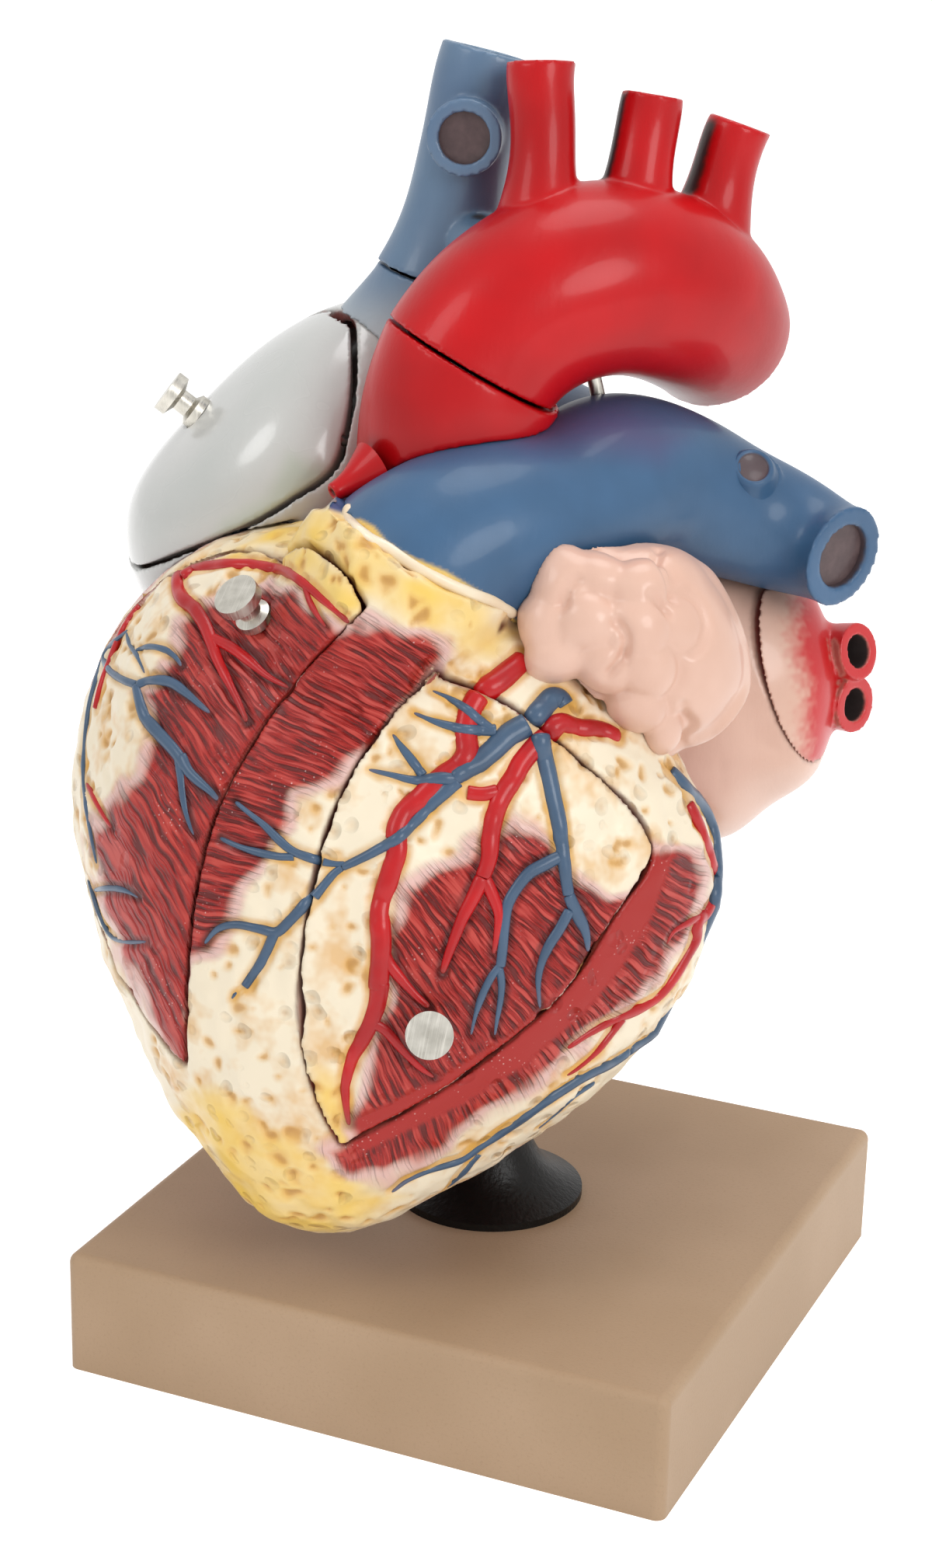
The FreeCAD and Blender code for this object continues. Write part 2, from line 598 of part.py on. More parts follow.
def stand_pieces():
    top = base_height
    rod_radius = rod_diameter / 2
    half = base_side / 2
    block = Part.makeBox(base_side, base_side, top, Vector(-half, -half, 0))
    edges = [edge for edge in block.Edges if edge.BoundBox.ZMax > 1]
    block = block.makeFillet(base_edge_radius, edges)
    inner = base_side - 2 * base_wall
    hollow = Part.makeBox(inner, inner, top - base_wall, Vector(-inner / 2, -inner / 2, 0))
    under_boss = top - base_wall - base_boss_height
    boss = Part.makeCylinder(base_boss_radius, base_boss_height + 1, Vector(0, 0, under_boss))
    rib_foot = top - base_wall - base_rib_height
    ribs = [Part.makeBox(length, width, base_rib_height + 1, Vector(-length / 2, -width / 2, rib_foot))
            for length, width in ((inner + 2, base_rib_width), (base_rib_width, inner + 2))]
    block = fused([cut(block, hollow), boss] + ribs)
    block = cut(block, Part.makeCylinder(rod_radius + rod_clearance, top + 1, Vector()))
    neck_top = top + flange_height
    curve = Part.BSplineCurve()
    steps = ((flange_radius, flange_rim),) + flange_steps + ((flange_neck_radius, flange_height),)
    curve.interpolate(Points=[Vector(radius, 0, top + height) for radius, height in steps])
    bore = rod_radius + glue_line
    outline = Part.makePolygon([Vector(flange_neck_radius, 0, neck_top), Vector(bore, 0, neck_top), Vector(bore, 0, top),
                                Vector(flange_radius, 0, top), Vector(flange_radius, 0, top + flange_rim)])
    flange = Part.Face(Part.Wire([curve.toShape()] + outline.Edges)).revolve(Vector(), Vector(0, 0, 1), 360)
    washer_bottom = under_boss - washer_thickness
    nut_bottom = washer_bottom - nut_thickness
    washer = Part.makeCylinder(washer_diameter / 2, washer_thickness, Vector(0, 0, washer_bottom)).cut(
        Part.makeCylinder(rod_radius + rod_clearance, washer_thickness, Vector(0, 0, washer_bottom)))
    corner = nut_across_flats / math.sqrt(3)
    hexagon = [Vector(corner * math.cos(math.radians(60 * k)), corner * math.sin(math.radians(60 * k)), nut_bottom)
               for k in range(7)]
    nut = Part.Face(Part.makePolygon(hexagon)).extrude(Vector(0, 0, nut_thickness)).cut(
        Part.makeCylinder(rod_radius + glue_line, nut_thickness, Vector(0, 0, nut_bottom)))
    rod_top = neck_top + rod_rise
    rod = Part.makeCylinder(rod_radius, rod_top - (under_boss - rod_tail), Vector(0, 0, under_boss - rod_tail))
    cup_radius = rod_radius + rod_clearance + socket_wall
    cup_top = rod_top + socket_end_gap + socket_wall
    cup = Part.makeCylinder(cup_radius, cup_top - neck_top, Vector(0, 0, neck_top)).cut(
        Part.makeCylinder(rod_radius + rod_clearance, rod_top + socket_end_gap - neck_top, Vector(0, 0, neck_top)))
    relief_top = neck_top + flange_clearance
    relief = [Vector(0, 0, relief_top), Vector(flange_neck_radius + flange_clearance, 0, relief_top)]
    relief += [Vector(radius + flange_clearance, 0, top + height) for radius, height in reversed(steps)]
    relief += [Vector(flange_radius + flange_clearance, 0, 0), Vector(), Vector(0, 0, relief_top)]
    seat = Part.makeCylinder(cup_radius + glue_line, cup_top + glue_line).fuse(
        Part.Face(Part.makePolygon(relief)).revolve(Vector(), Vector(0, 0, 1), 360))
    boss = Part.makeCylinder(cup_radius + socket_boss_wall, cup_top + socket_boss_wall)
    pieces = {"base_block": block, "stand_flange": flange, "stand_rod": rod, "stand_washer": washer, "stand_nut": nut,
              "heart_socket": cup}
    return pieces, seat, boss


# ---- build -------------------------------------------------------------------------------
arch_stud_place = Vector(23.5, 10, 274)
arch_lift = unit(Vector(-0.25, 0, 0.97))


def half_space(point, normal):
    """Everything on the far side of a plane, as far as the heart reaches."""
    return Part.makeCylinder(150, 150, point, normal)


def build():
    mass = ventricle_mass()
    nodes, socket_seat, socket_boss = stand_pieces()
    valve_bases = [in_ventricles(roof + ventricle_stations[0][0], *place) for name, place, radius, count, feet in hanging_valves]
    papillaries = []
    for base, (name, place, radius, count, feet) in zip(valve_bases, hanging_valves):
        rim_middle = base + to_apex * radius * valve_depth
        papillaries += [papillary_cone(in_ventricles(*foot), rim_middle)[0] for foot in feet]
    muscles = fused(papillaries).common(mass)
    casting = ventricle_casting(mass)
    trunk_outer = fused([tube(trunk_path), tube(lung_artery_path), tube(lobe_branch_path)])
    aorta_outer = ascending_outer()
    right_outer, left_outer = right_atrium_outer(), left_atrium_outer()

    nodes["ventricles"] = cut(casting.fuse([muscles, socket_boss.common(mass)]), socket_seat)
    nodes["pulmonary_trunk"] = pulmonary_trunk(mass)
    nodes["ascending_aorta"] = ascending_aorta(mass, trunk_outer)
    nodes["aortic_arch"] = aortic_arch()
    nodes["upper_vena_cava"] = upper_cava(nodes["aortic_arch"])
    right_hollow = stack(right_atrium_middle, right_atrium_axis, right_atrium_across,
                         thinner(right_atrium_stations, atrium_wall))
    left_hollow = stack(left_atrium_middle, Vector(1, 0, 0), Vector(0, 1, 0), thinner(left_atrium_stations, atrium_wall))
    stump_bore = tube(stretched(narrowed(cava_stump_path, branch_wall)), end=cava_seam_normal)
    lower_bore = tube(stretched(narrowed(lower_cava_path, branch_wall)))
    right_shell = largest(cut(right_outer, right_hollow, stump_bore, lower_bore, mass, trunk_outer, aorta_outer,
                              orifice(tricuspid_place, tricuspid_radius)))
    vein_bores = [tube(stretched(narrowed(path, branch_wall))) for path in right_vein_paths]
    left_shell = largest(cut(left_outer, left_hollow, mass, trunk_outer, aorta_outer, right_outer,
                             orifice(mitral_place, mitral_radius), *vein_bores))
    nodes["vena_cava_stump"] = largest(cut(tube(cava_stump_path, end=cava_seam_normal), stump_bore, right_outer))
    nodes["lower_vena_cava"] = largest(cut(tube(lower_cava_path), lower_bore, right_outer, left_outer, mass))
    for name, path, bore in zip(("right_upper_vein", "right_lower_vein"), right_vein_paths, vein_bores):
        nodes[name] = largest(cut(tube(path), bore, left_outer, right_outer))
    nodes["left_auricle"] = largest(cut(auricle_outer(), mass, trunk_outer, aorta_outer, left_outer))

    for spec, name in ((left_wall_plug, "left_ventricle_wall"), (right_wall_plug, "right_ventricle_wall")):
        wall = largest(casting.common(plug(spec, spec["stand_back"])))
        seat = largest(cut(nodes["ventricles"], plug(spec)))
        nodes[name], nodes["ventricles"], pins = fit_pins(wall, seat, spec)
        nodes[name + "_pin_1"], nodes[name + "_pin_2"] = pins
    name = "right_atrium_wall"
    wall = largest(cut(right_shell.common(plug(right_atrium_plug, right_atrium_plug["stand_back"])),
                       ventricle_mass(seam), tube(cava_stump_path, seam, end=cava_seam_normal), ascending_outer(seam)))
    nodes[name], nodes["right_atrium"], pins = fit_pins(wall, largest(cut(right_shell, plug(right_atrium_plug))),
                                                        right_atrium_plug)
    nodes[name + "_pin_1"], nodes[name + "_pin_2"] = pins
    name = "left_atrium_wall"
    far_side = half_space(vein_wall_point, vein_wall_seam)
    wall = largest(cut(left_shell.common(far_side), ventricle_mass(seam), auricle_outer(seam), tube(trunk_path, seam)))
    nodes[name], nodes["left_atrium"], pins = fit_vein_wall_pins(wall, largest(cut(left_shell, far_side)), left_outer)
    nodes[name + "_pin_1"], nodes[name + "_pin_2"] = pins
    for name, path in zip(("left_upper_vein", "left_lower_vein"), left_vein_paths):
        nodes[name] = largest(cut(tube(path).common(far_side), left_outer, end_recess(path, branch_wall, recess_depth + 3)))
    nodes["left_lower_vein"] = cut(nodes["left_lower_vein"], nodes["left_upper_vein"])

    for name, (target, axis) in knob_places.items():
        nodes[name], nodes[name + "_knob"], nodes[name + "_knob_screw"] = fit_knob(nodes[name], target, axis)

    for base, (name, place, radius, count, feet) in zip(valve_bases, hanging_valves):
        valve = hanging_valve(radius, count, base, [in_ventricles(*foot) for foot in feet])
        nodes[name] = largest(cut(valve, nodes["ventricles"]))
    nodes["pulmonary_valve"] = largest(cut(pocket_valve(outflow_radius, *pulmonary_valve_place), nodes["ventricles"]))
    nodes["aortic_valve"] = largest(cut(pocket_valve(outflow_radius, *aortic_valve_place), nodes["ventricles"],
                                        nodes["ascending_aorta"], nodes["pulmonary_trunk"]))

    trunk_top = span_through(nodes["pulmonary_trunk"], arch_stud_place - arch_lift * 50, arch_stud_place)[1]
    arch_under = span_through(nodes["aortic_arch"], arch_stud_place, arch_stud_place + arch_lift * 60)[0]
    start, end = trunk_top - arch_lift * stud_in_trunk, arch_under + arch_lift * stud_in_arch
    stud_radius = stud_diameter / 2
    nodes["arch_stud"] = rod_between(start, end, stud_radius)
    nodes["aortic_arch"] = cut(nodes["aortic_arch"], rod_between(start, end, stud_radius + glue_line))
    nodes["pulmonary_trunk"] = cut(nodes["pulmonary_trunk"],
                                   rod_between(start - arch_lift, end, stud_radius + pin_clearance))
    return nodes


os.makedirs("parts", exist_ok=True)
stand = {"base_block", "stand_flange", "stand_rod", "stand_washer", "stand_nut"}
for name, shape in build().items():
    if name not in stand:
        shape = shape.copy()
        shape.rotate(Vector(), Vector(0, 0, 1), display_turn)
    shape.exportStep(os.path.join("parts", name + ".step"))
    print(name, round(shape.Volume), shape.isValid(), len(shape.Solids))
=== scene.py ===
import math
import bmesh
import bpy
import numpy as np
from mathutils import Matrix, Vector
from mathutils.bvhtree import BVHTree
from mathutils.kdtree import KDTree


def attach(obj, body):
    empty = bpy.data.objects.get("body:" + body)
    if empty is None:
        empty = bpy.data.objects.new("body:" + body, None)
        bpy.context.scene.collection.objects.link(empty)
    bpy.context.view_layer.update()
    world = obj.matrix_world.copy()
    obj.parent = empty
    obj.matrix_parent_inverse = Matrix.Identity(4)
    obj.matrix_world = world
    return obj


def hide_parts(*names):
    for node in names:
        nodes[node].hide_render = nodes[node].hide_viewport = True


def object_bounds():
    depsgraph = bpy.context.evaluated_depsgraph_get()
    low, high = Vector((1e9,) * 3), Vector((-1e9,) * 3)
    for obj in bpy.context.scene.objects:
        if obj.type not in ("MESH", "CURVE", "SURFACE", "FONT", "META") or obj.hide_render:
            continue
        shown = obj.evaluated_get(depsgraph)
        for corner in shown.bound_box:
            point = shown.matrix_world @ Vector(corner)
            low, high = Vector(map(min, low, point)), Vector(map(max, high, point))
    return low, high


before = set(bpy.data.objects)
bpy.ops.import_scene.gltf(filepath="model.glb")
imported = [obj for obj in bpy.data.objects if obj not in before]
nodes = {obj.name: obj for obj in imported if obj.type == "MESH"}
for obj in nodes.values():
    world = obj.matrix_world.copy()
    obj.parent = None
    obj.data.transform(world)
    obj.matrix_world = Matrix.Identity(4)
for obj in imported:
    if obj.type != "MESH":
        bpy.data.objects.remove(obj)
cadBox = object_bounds()
mm = 0.001

# Camera first, because painted places are given as points of its 1200 by 2018 frame.
camera = {"place": (0.3083, -0.7269, 0.4366), "azimuth": 23.66, "pitch": 19.18, "roll": 1.29, "lens": 68.3,
          "sensor": 36, "nearClip": 0.01, "frame": (1200, 2018), "pixelFocus": 3830}


def placed(name, data):
    holder = bpy.data.objects.new(name, data)
    bpy.context.scene.collection.objects.link(holder)
    return holder


def makeCamera():
    turn, down, roll = (math.radians(camera[key]) for key in ("azimuth", "pitch", "roll"))
    ahead = Vector((-math.sin(turn) * math.cos(down), math.cos(turn) * math.cos(down), -math.sin(down)))
    level = Vector((math.cos(turn), math.sin(turn), 0))
    upright = level.cross(ahead)
    right = level * math.cos(roll) + upright * math.sin(roll)
    up = upright * math.cos(roll) - level * math.sin(roll)
    data = bpy.data.cameras.new("camera")
    data.sensor_fit = "VERTICAL"
    data.sensor_height = camera["sensor"]
    data.lens = camera["lens"]
    data.clip_start = camera["nearClip"]
    shot = placed("camera", data)
    facing = Matrix((right, up, -ahead)).transposed().to_4x4()
    shot.matrix_world = Matrix.Translation(camera["place"]) @ facing
    bpy.context.scene.camera = shot
    return Vector(camera["place"]), right, up, ahead


eye, viewRight, viewUp, viewAhead = makeCamera()
print("camera made")


def pixelRay(u, v):
    across = (u - camera["frame"][0] / 2) / camera["pixelFocus"]
    rise = (camera["frame"][1] / 2 - v) / camera["pixelFocus"]
    return eye, (viewAhead + viewRight * across + viewUp * rise).normalized()


def toPixels(points):
    offset = points - np.array(eye)
    depth = offset @ np.array(viewAhead)
    u = camera["frame"][0] / 2 + camera["pixelFocus"] * (offset @ np.array(viewRight)) / depth
    v = camera["frame"][1] / 2 - camera["pixelFocus"] * (offset @ np.array(viewUp)) / depth
    return np.stack([u, v], 1)


def moved(points, across, down):
    # points moved by so many pixels of the camera's frame
    depth = (points - np.array(eye)) @ np.array(viewAhead) / camera["pixelFocus"]
    shift = across[:, None] * np.array(viewRight) - down[:, None] * np.array(viewUp)
    return points + shift * depth[:, None]


def towardsEye(points, normals):
    # 1 where a surface faces the camera, 0 where it is seen edge-on
    toEye = np.array(eye) - points
    return (normals * toEye).sum(1) / np.linalg.norm(toEye, axis=1)


def smoothStep(low, high, value):
    # 0 up to the first limit and 1 past the second, where the first may be the larger one
    share = np.clip((value - low) / (high - low), 0, 1)
    return share * share * (3 - 2 * share)


# Whole numbers that scramble a lattice corner's place into its random value.
scramble = {"axes": (73856093, 19349663, 83492791), "seed": 2654435, "factor": 1103515245, "offset": 12345,
            "values": 65535, "seedStep": 17.31}


def latticeNoise(points, sizeMm, seed):
    # one random value per lattice corner, eased between corners; 0 to 1
    spot = points / (sizeMm * mm) + seed * scramble["seedStep"]
    cell = np.floor(spot).astype(np.int64)
    part = spot - cell
    part = part * part * (3 - 2 * part)
    total = np.zeros(len(points))
    for step in [(x, y, z) for x in (0, 1) for y in (0, 1) for z in (0, 1)]:
        spread = (cell + step) * scramble["axes"]
        mixed = spread[:, 0] ^ spread[:, 1] ^ spread[:, 2] ^ seed * scramble["seed"]
        value = (mixed * scramble["factor"] + scramble["offset"]) >> 8 & scramble["values"]
        weight = np.where(step, part, 1 - part)
        total += value / scramble["values"] * (weight[:, 0] * weight[:, 1] * weight[:, 2])
    return total


def uneven(points, sizeMm, seed, reach):
    # noise about zero, from minus half the reach to plus half of it
    return (latticeNoise(points, sizeMm, seed) - 0.5) * reach


def toSegment(points, start, end):
    # distance from each point to a straight line between two places
    start, run = np.array(start, float), np.subtract(end, start).astype(float)
    share = np.clip(((points - start) @ run) / max(run @ run, 1e-9), 0, 1)
    return np.linalg.norm(points - start - share[:, None] * run, axis=1)


def farFrom(points, place):
    return np.linalg.norm(points - np.array(place), axis=1) / mm


def toPolygon(pixels, polygon):
    # pixels of distance to the polygon's outline, positive inside it
    best = np.full(len(pixels), 1e9)
    inside = np.zeros(len(pixels), bool)
    for start, end in zip(polygon, polygon[1:] + polygon[:1]):
        best = np.minimum(best, toSegment(pixels, start, end))
        crosses = (start[1] > pixels[:, 1]) != (end[1] > pixels[:, 1])
        rise = (end[1] - start[1]) or 1e-9
        inside ^= crosses & (pixels[:, 0] < start[0] + (pixels[:, 1] - start[1]) / rise * (end[0] - start[0]))
    return np.where(inside, best, -best)


def inPolygons(pixels, polygons, soft):
    mask = np.zeros(len(pixels))
    for polygon in polygons:
        mask = np.maximum(mask, smoothStep(-soft, soft, toPolygon(pixels, polygon)))
    return mask


def readPoints(mesh):
    points = np.empty(len(mesh.vertices) * 3)
    mesh.vertices.foreach_get("co", points)
    normals = np.empty(len(mesh.vertices) * 3)
    mesh.vertex_normals.foreach_get("vector", normals)
    return points.reshape(-1, 3), normals.reshape(-1, 3)


def reshaped(mesh, points):
    # the mesh takes the points and gives them back with its new normals
    mesh.vertices.foreach_set("co", points.ravel())
    mesh.update()
    return readPoints(mesh)


def keep(mesh, name, values):
    kind = "FLOAT_VECTOR" if values.ndim == 2 else "FLOAT"
    layer = mesh.attributes.new(name, kind, "POINT")
    layer.data.foreach_set("vector" if values.ndim == 2 else "value", values.astype(np.float32).ravel())


def evened(mesh, values, rounds, pull=0.6):
    # each value drawn towards those of the points that it is joined to
    ends = np.empty(len(mesh.edges) * 2, np.int64)
    mesh.edges.foreach_get("vertices", ends)
    ends = ends.reshape(-1, 2)
    count = np.maximum(np.bincount(ends.ravel(), minlength=len(values)), 1)
    for _ in range(rounds):
        total = np.bincount(ends[:, 0], values[ends[:, 1]], len(values))
        total += np.bincount(ends[:, 1], values[ends[:, 0]], len(values))
        values = (1 - pull) * values + pull * total / count
    return values


def eased(mesh, points, weight, rounds):
    soft = np.stack([evened(mesh, points[:, axis], rounds) for axis in range(3)], 1)
    return points + (soft - points) * weight[:, None]


def treeOf(*meshes):
    corners, faces = [], []
    for mesh in meshes:
        base = len(corners)
        corners += [vertex.co.copy() for vertex in mesh.vertices]
        faces += [[base + index for index in face.vertices] for face in mesh.polygons]
    return BVHTree.FromPolygons(corners, faces)


def lookupOf(spots):
    lookup = KDTree(len(spots))
    for index, spot in enumerate(spots):
        lookup.insert(Vector(spot), index)
    lookup.balance()
    return lookup


insetMm = 0.1


def newPiece(name, mesh, body, replaced=()):
    # the relief stays a little within the solids' own size
    points = readPoints(mesh)[0]
    reshaped(mesh, np.clip(points, np.array(cadBox[0]) + insetMm * mm, np.array(cadBox[1]) - insetMm * mm))
    piece = placed(name, mesh)
    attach(piece, body)
    if replaced:
        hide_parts(*replaced)
    mesh.shade_smooth()


def recast(name, sources, voxelMm, ease=2):
    # even grid of faces over one or more CAD solids, its edges eased as paint and moulding ease them
    blank = bmesh.new()
    for source in sources:
        blank.from_mesh(nodes[source].data)
    joined = bpy.data.meshes.new(name + "Blank")
    blank.to_mesh(joined)
    blank.free()
    helper = placed(name + "Blank", joined)
    grid = helper.modifiers.new("grid", "REMESH")
    grid.mode = "VOXEL"
    grid.voxel_size = voxelMm * mm
    easing = helper.modifiers.new("ease", "SMOOTH")
    easing.factor = 0.5
    easing.iterations = ease
    mesh = bpy.data.meshes.new_from_object(helper.evaluated_get(bpy.context.evaluated_depsgraph_get()))
    bpy.data.objects.remove(helper)
    mesh.name = name
    mesh.materials.clear()
    return mesh


def ringFaces(rings, around, first=0):
    # faces between rings of points that follow one another
    faces = []
    for ring in range(first, first + (rings - 1) * around, around):
        for step in range(around):
            a, b = ring + step, ring + (step + 1) % around
            faces.append((a, b, b + around, a + around))
    return faces


def meshFrom(name, corners, faces, finish):
    mesh = bpy.data.meshes.new(name)
    mesh.from_pydata([tuple(corner) for corner in corners], [], faces)
    mesh.update()
    mesh.materials.append(finishes[finish])
    return mesh


def toLinear(code):
    channels = [int(code[index:index + 2], 16) / 255 for index in (1, 3, 5)]
    return tuple(c / 12.92 if c <= 0.04045 else ((c + 0.055) / 1.055) ** 2.4 for c in channels) + (1,)


def add(tree, kind, values=None, out=0):
    # one node with its settings and links; a link is given as the socket that it comes from
    node = tree.nodes.new("ShaderNode" + kind)
    for key, value in (values or {}).items():
        if isinstance(value, bpy.types.NodeSocket):
            tree.links.new(value, node.inputs[key])
        elif isinstance(key, str) and hasattr(node, key):
            setattr(node, key, value)
        else:
            node.inputs[key].default_value = value
    return node.outputs[out] if len(node.outputs) else node


def emptied(holder):
    holder.use_nodes = True
    holder.node_tree.nodes.clear()
    return holder.node_tree


def startFinish(name):
    material = bpy.data.materials.new(name)
    tree = emptied(material)
    spot = add(tree, "TexCoord", out="Object")
    return material, tree, add(tree, "VectorMath", {"operation": "SCALE", 0: spot, "Scale": 1 / mm})


def layered(tree, colour, layers):
    # paint in coats: each coat covers what is below it where its mask is 1
    for mask, coat in layers:
        coat = toLinear(coat) if isinstance(coat, str) else coat
        colour = add(tree, "Mix", {"data_type": "RGBA", 0: mask, 6: colour, 7: coat}, 2)
    return colour


# Polyurethane resin casting, airbrushed and brushed by hand, then varnished. Muscle shows fibres carved as
# short dark grooves, with a painted highlight of lighter red on their crests and a painted shade of darker
# red in their hollows; fat shows soft pits that hold an ochre wash, and the varnish gives a satin sheen.
resin = {"cream": "#E9DCC3", "fatShade": "#D8AE76", "ochre": "#D6A352", "pit": "#9A632A", "yellow": "#E8C04C",
         "muscle": "#9F1F19", "musclePaintedShade": "#851511", "musclePaintedHighlight": "#B8433A", "groove": "#4A0C09",
         "haze": "#DEB8B2", "blue": "#3A5A82", "lining": "#B3625A", "liningDark": "#7C2C27",
         "seam": "#571611", "grooveAcrossMm": 1.2, "grooveAlongMm": 13, "wobbleMm": 11, "washMm": 15,
         "pitMm": 6.0, "speckMm": 1.4, "reliefMm": 0.9, "rough": 0.4, "gloss": 0.28, "coat": 0.12}


def paintedResin():
    material, tree, place = startFinish("paintedResinCasting")
    masks = {name: add(tree, "Attribute", {"attribute_name": name}, "Fac")
             for name in ("muscle", "yellow", "rim", "lining", "seam", "blue", "bare", "pit")}
    grain = add(tree, "Attribute", {"attribute_name": "grain"}, "Vector")
    wobble = add(tree, "TexNoise", {"Vector": place, "Scale": 1 / resin["wobbleMm"], "Detail": 1.0}, "Color")
    wash = add(tree, "TexNoise", {"Vector": place, "Scale": 1 / resin["washMm"], "Detail": 3.0,
                                  "Roughness": 0.6})
    # fibres: long narrow noise across the grain
    bent = add(tree, "VectorMath", {"operation": "MULTIPLY_ADD", 0: wobble, 1: (2.6, 2.6, 0), 2: grain})
    scale = (1 / resin["grooveAcrossMm"], 1 / resin["grooveAlongMm"], 1)
    run = add(tree, "Mapping", {"Vector": bent, "Scale": scale})
    streak = add(tree, "TexNoise", {"Vector": run, "Scale": 1.0, "Detail": 1.5, "Roughness": 0.5})
    worked = add(tree, "Math", {"operation": "SUBTRACT", 0: 1.0, 1: masks["bare"]})
    carved = add(tree, "MapRange", {"Value": streak, "From Min": 0.43, "From Max": 0.36, "To Max": worked})
    carved = add(tree, "Math", {"operation": "MULTIPLY", 0: carved, 1: 0.75})
    # darker red in the fibres' hollows is a painted shade, and lighter red on their crests is a painted
    # highlight
    hollowShade = add(tree, "MapRange", {"Value": streak, "From Min": 0.5, "From Max": 0.4, "To Max": worked})
    crestHighlight = add(tree, "MapRange", {"Value": streak, "From Min": 0.52, "From Max": 0.66, "To Max": worked})
    red = layered(tree, toLinear(resin["muscle"]),
                  [(crestHighlight, resin["musclePaintedHighlight"]), (hollowShade, resin["musclePaintedShade"]), (carved, resin["groove"])])
    # pits in the fat: some cells of a cell pattern are dark at their middle
    warped = add(tree, "VectorMath", {"operation": "MULTIPLY_ADD", 0: wobble, 1: (5, 5, 5), 2: place})
    reach = add(tree, "TexVoronoi", {"Vector": warped, "Scale": 1 / resin["pitMm"], "Randomness": 1.0},
                "Distance")
    draw = add(tree, "SeparateColor", {0: reach.node.outputs["Color"]})
    chosen = add(tree, "MapRange", {"Value": draw, "From Min": 0.42, "From Max": 0.62})
    deep = add(tree, "MapRange", {"Value": reach, "From Min": 0.2, "From Max": 0.04, "To Max": chosen})
    deep = add(tree, "Math", {"operation": "MULTIPLY", 0: deep, 1: 0.35})
    halo = add(tree, "MapRange", {"Value": reach, "From Min": 0.4, "From Max": 0.1, "To Max": chosen})
    halo = add(tree, "Math", {"operation": "MULTIPLY", 0: halo, 1: 0.3})
    stained = add(tree, "MapRange", {"Value": masks["pit"], "From Min": 0.05, "From Max": 0.8,
                                     "To Max": 0.75})
    soaked = add(tree, "MapRange", {"Value": masks["pit"], "From Min": 0.55, "From Max": 1.1, "To Max": 0.6})
    shaded = add(tree, "MapRange", {"Value": wash, "From Min": 0.5, "From Max": 0.68, "To Max": 0.85})
    fat = layered(tree, toLinear(resin["cream"]),
                  [(shaded, resin["fatShade"]), (masks["yellow"], resin["yellow"]), (halo, resin["ochre"]),
                   (stained, resin["ochre"]), (deep, resin["pit"]), (soaked, resin["pit"])])
    # rosy haze where the red spray thins out, and pale specks on the muscle
    edge = add(tree, "Math", {"operation": "PINGPONG", 0: masks["muscle"], 1: 0.5})
    hazy = add(tree, "MapRange", {"Value": edge, "From Min": 0.04, "From Max": 0.45, "To Max": 0.75})
    speck = add(tree, "TexVoronoi", {"Vector": place, "Scale": 1 / resin["speckMm"]}, "Distance")
    dusted = add(tree, "MapRange", {"Value": wash, "From Min": 0.52, "From Max": 0.64, "To Max": 0.7})
    dusted = add(tree, "MapRange", {"Value": speck, "From Min": 0.2, "From Max": 0.12, "To Max": dusted})
    dusted = add(tree, "Math", {"operation": "MULTIPLY", 0: dusted, 1: masks["muscle"]})
    worn = add(tree, "MapRange", {"Value": wash, "From Min": 0.3, "From Max": 0.6, "To Min": 0.35})
    rim = add(tree, "Math", {"operation": "MULTIPLY", 0: masks["rim"], 1: worn})
    rimPaint = layered(tree, toLinear(resin["ochre"]), [(masks["muscle"], resin["groove"])])
    lining = layered(tree, toLinear(resin["liningDark"]), [(wash, resin["lining"])])
    skin = layered(tree, fat, [(masks["muscle"], red), (hazy, resin["haze"]), (dusted, resin["haze"]),
                               (rim, rimPaint), (masks["lining"], lining), (masks["seam"], resin["seam"]),
                               (masks["blue"], resin["blue"])])
    ridge = add(tree, "MapRange", {"Value": streak, "From Min": 0.36, "From Max": 0.54,
                                   "To Max": masks["muscle"]})
    ridge = add(tree, "Math", {"operation": "MULTIPLY", 0: ridge, 1: worked})
    dip = add(tree, "MapRange", {"Value": reach, "From Min": 0.4, "From Max": 0.05, "To Max": chosen})
    height = add(tree, "Math", {"operation": "MULTIPLY_ADD", 0: dip, 1: -1.6, 2: ridge})
    bump = add(tree, "Bump", {"Height": height, "Strength": 1.0, "Distance": resin["reliefMm"] * mm})
    surface = add(tree, "BsdfPrincipled", {"Base Color": skin, "Normal": bump, "Roughness": resin["rough"],
                                           "IOR": 1.5, "Specular IOR Level": resin["gloss"],
                                           "Coat Weight": resin["coat"], "Coat Roughness": 0.25})
    add(tree, "OutputMaterial", {"Surface": surface})
    return material
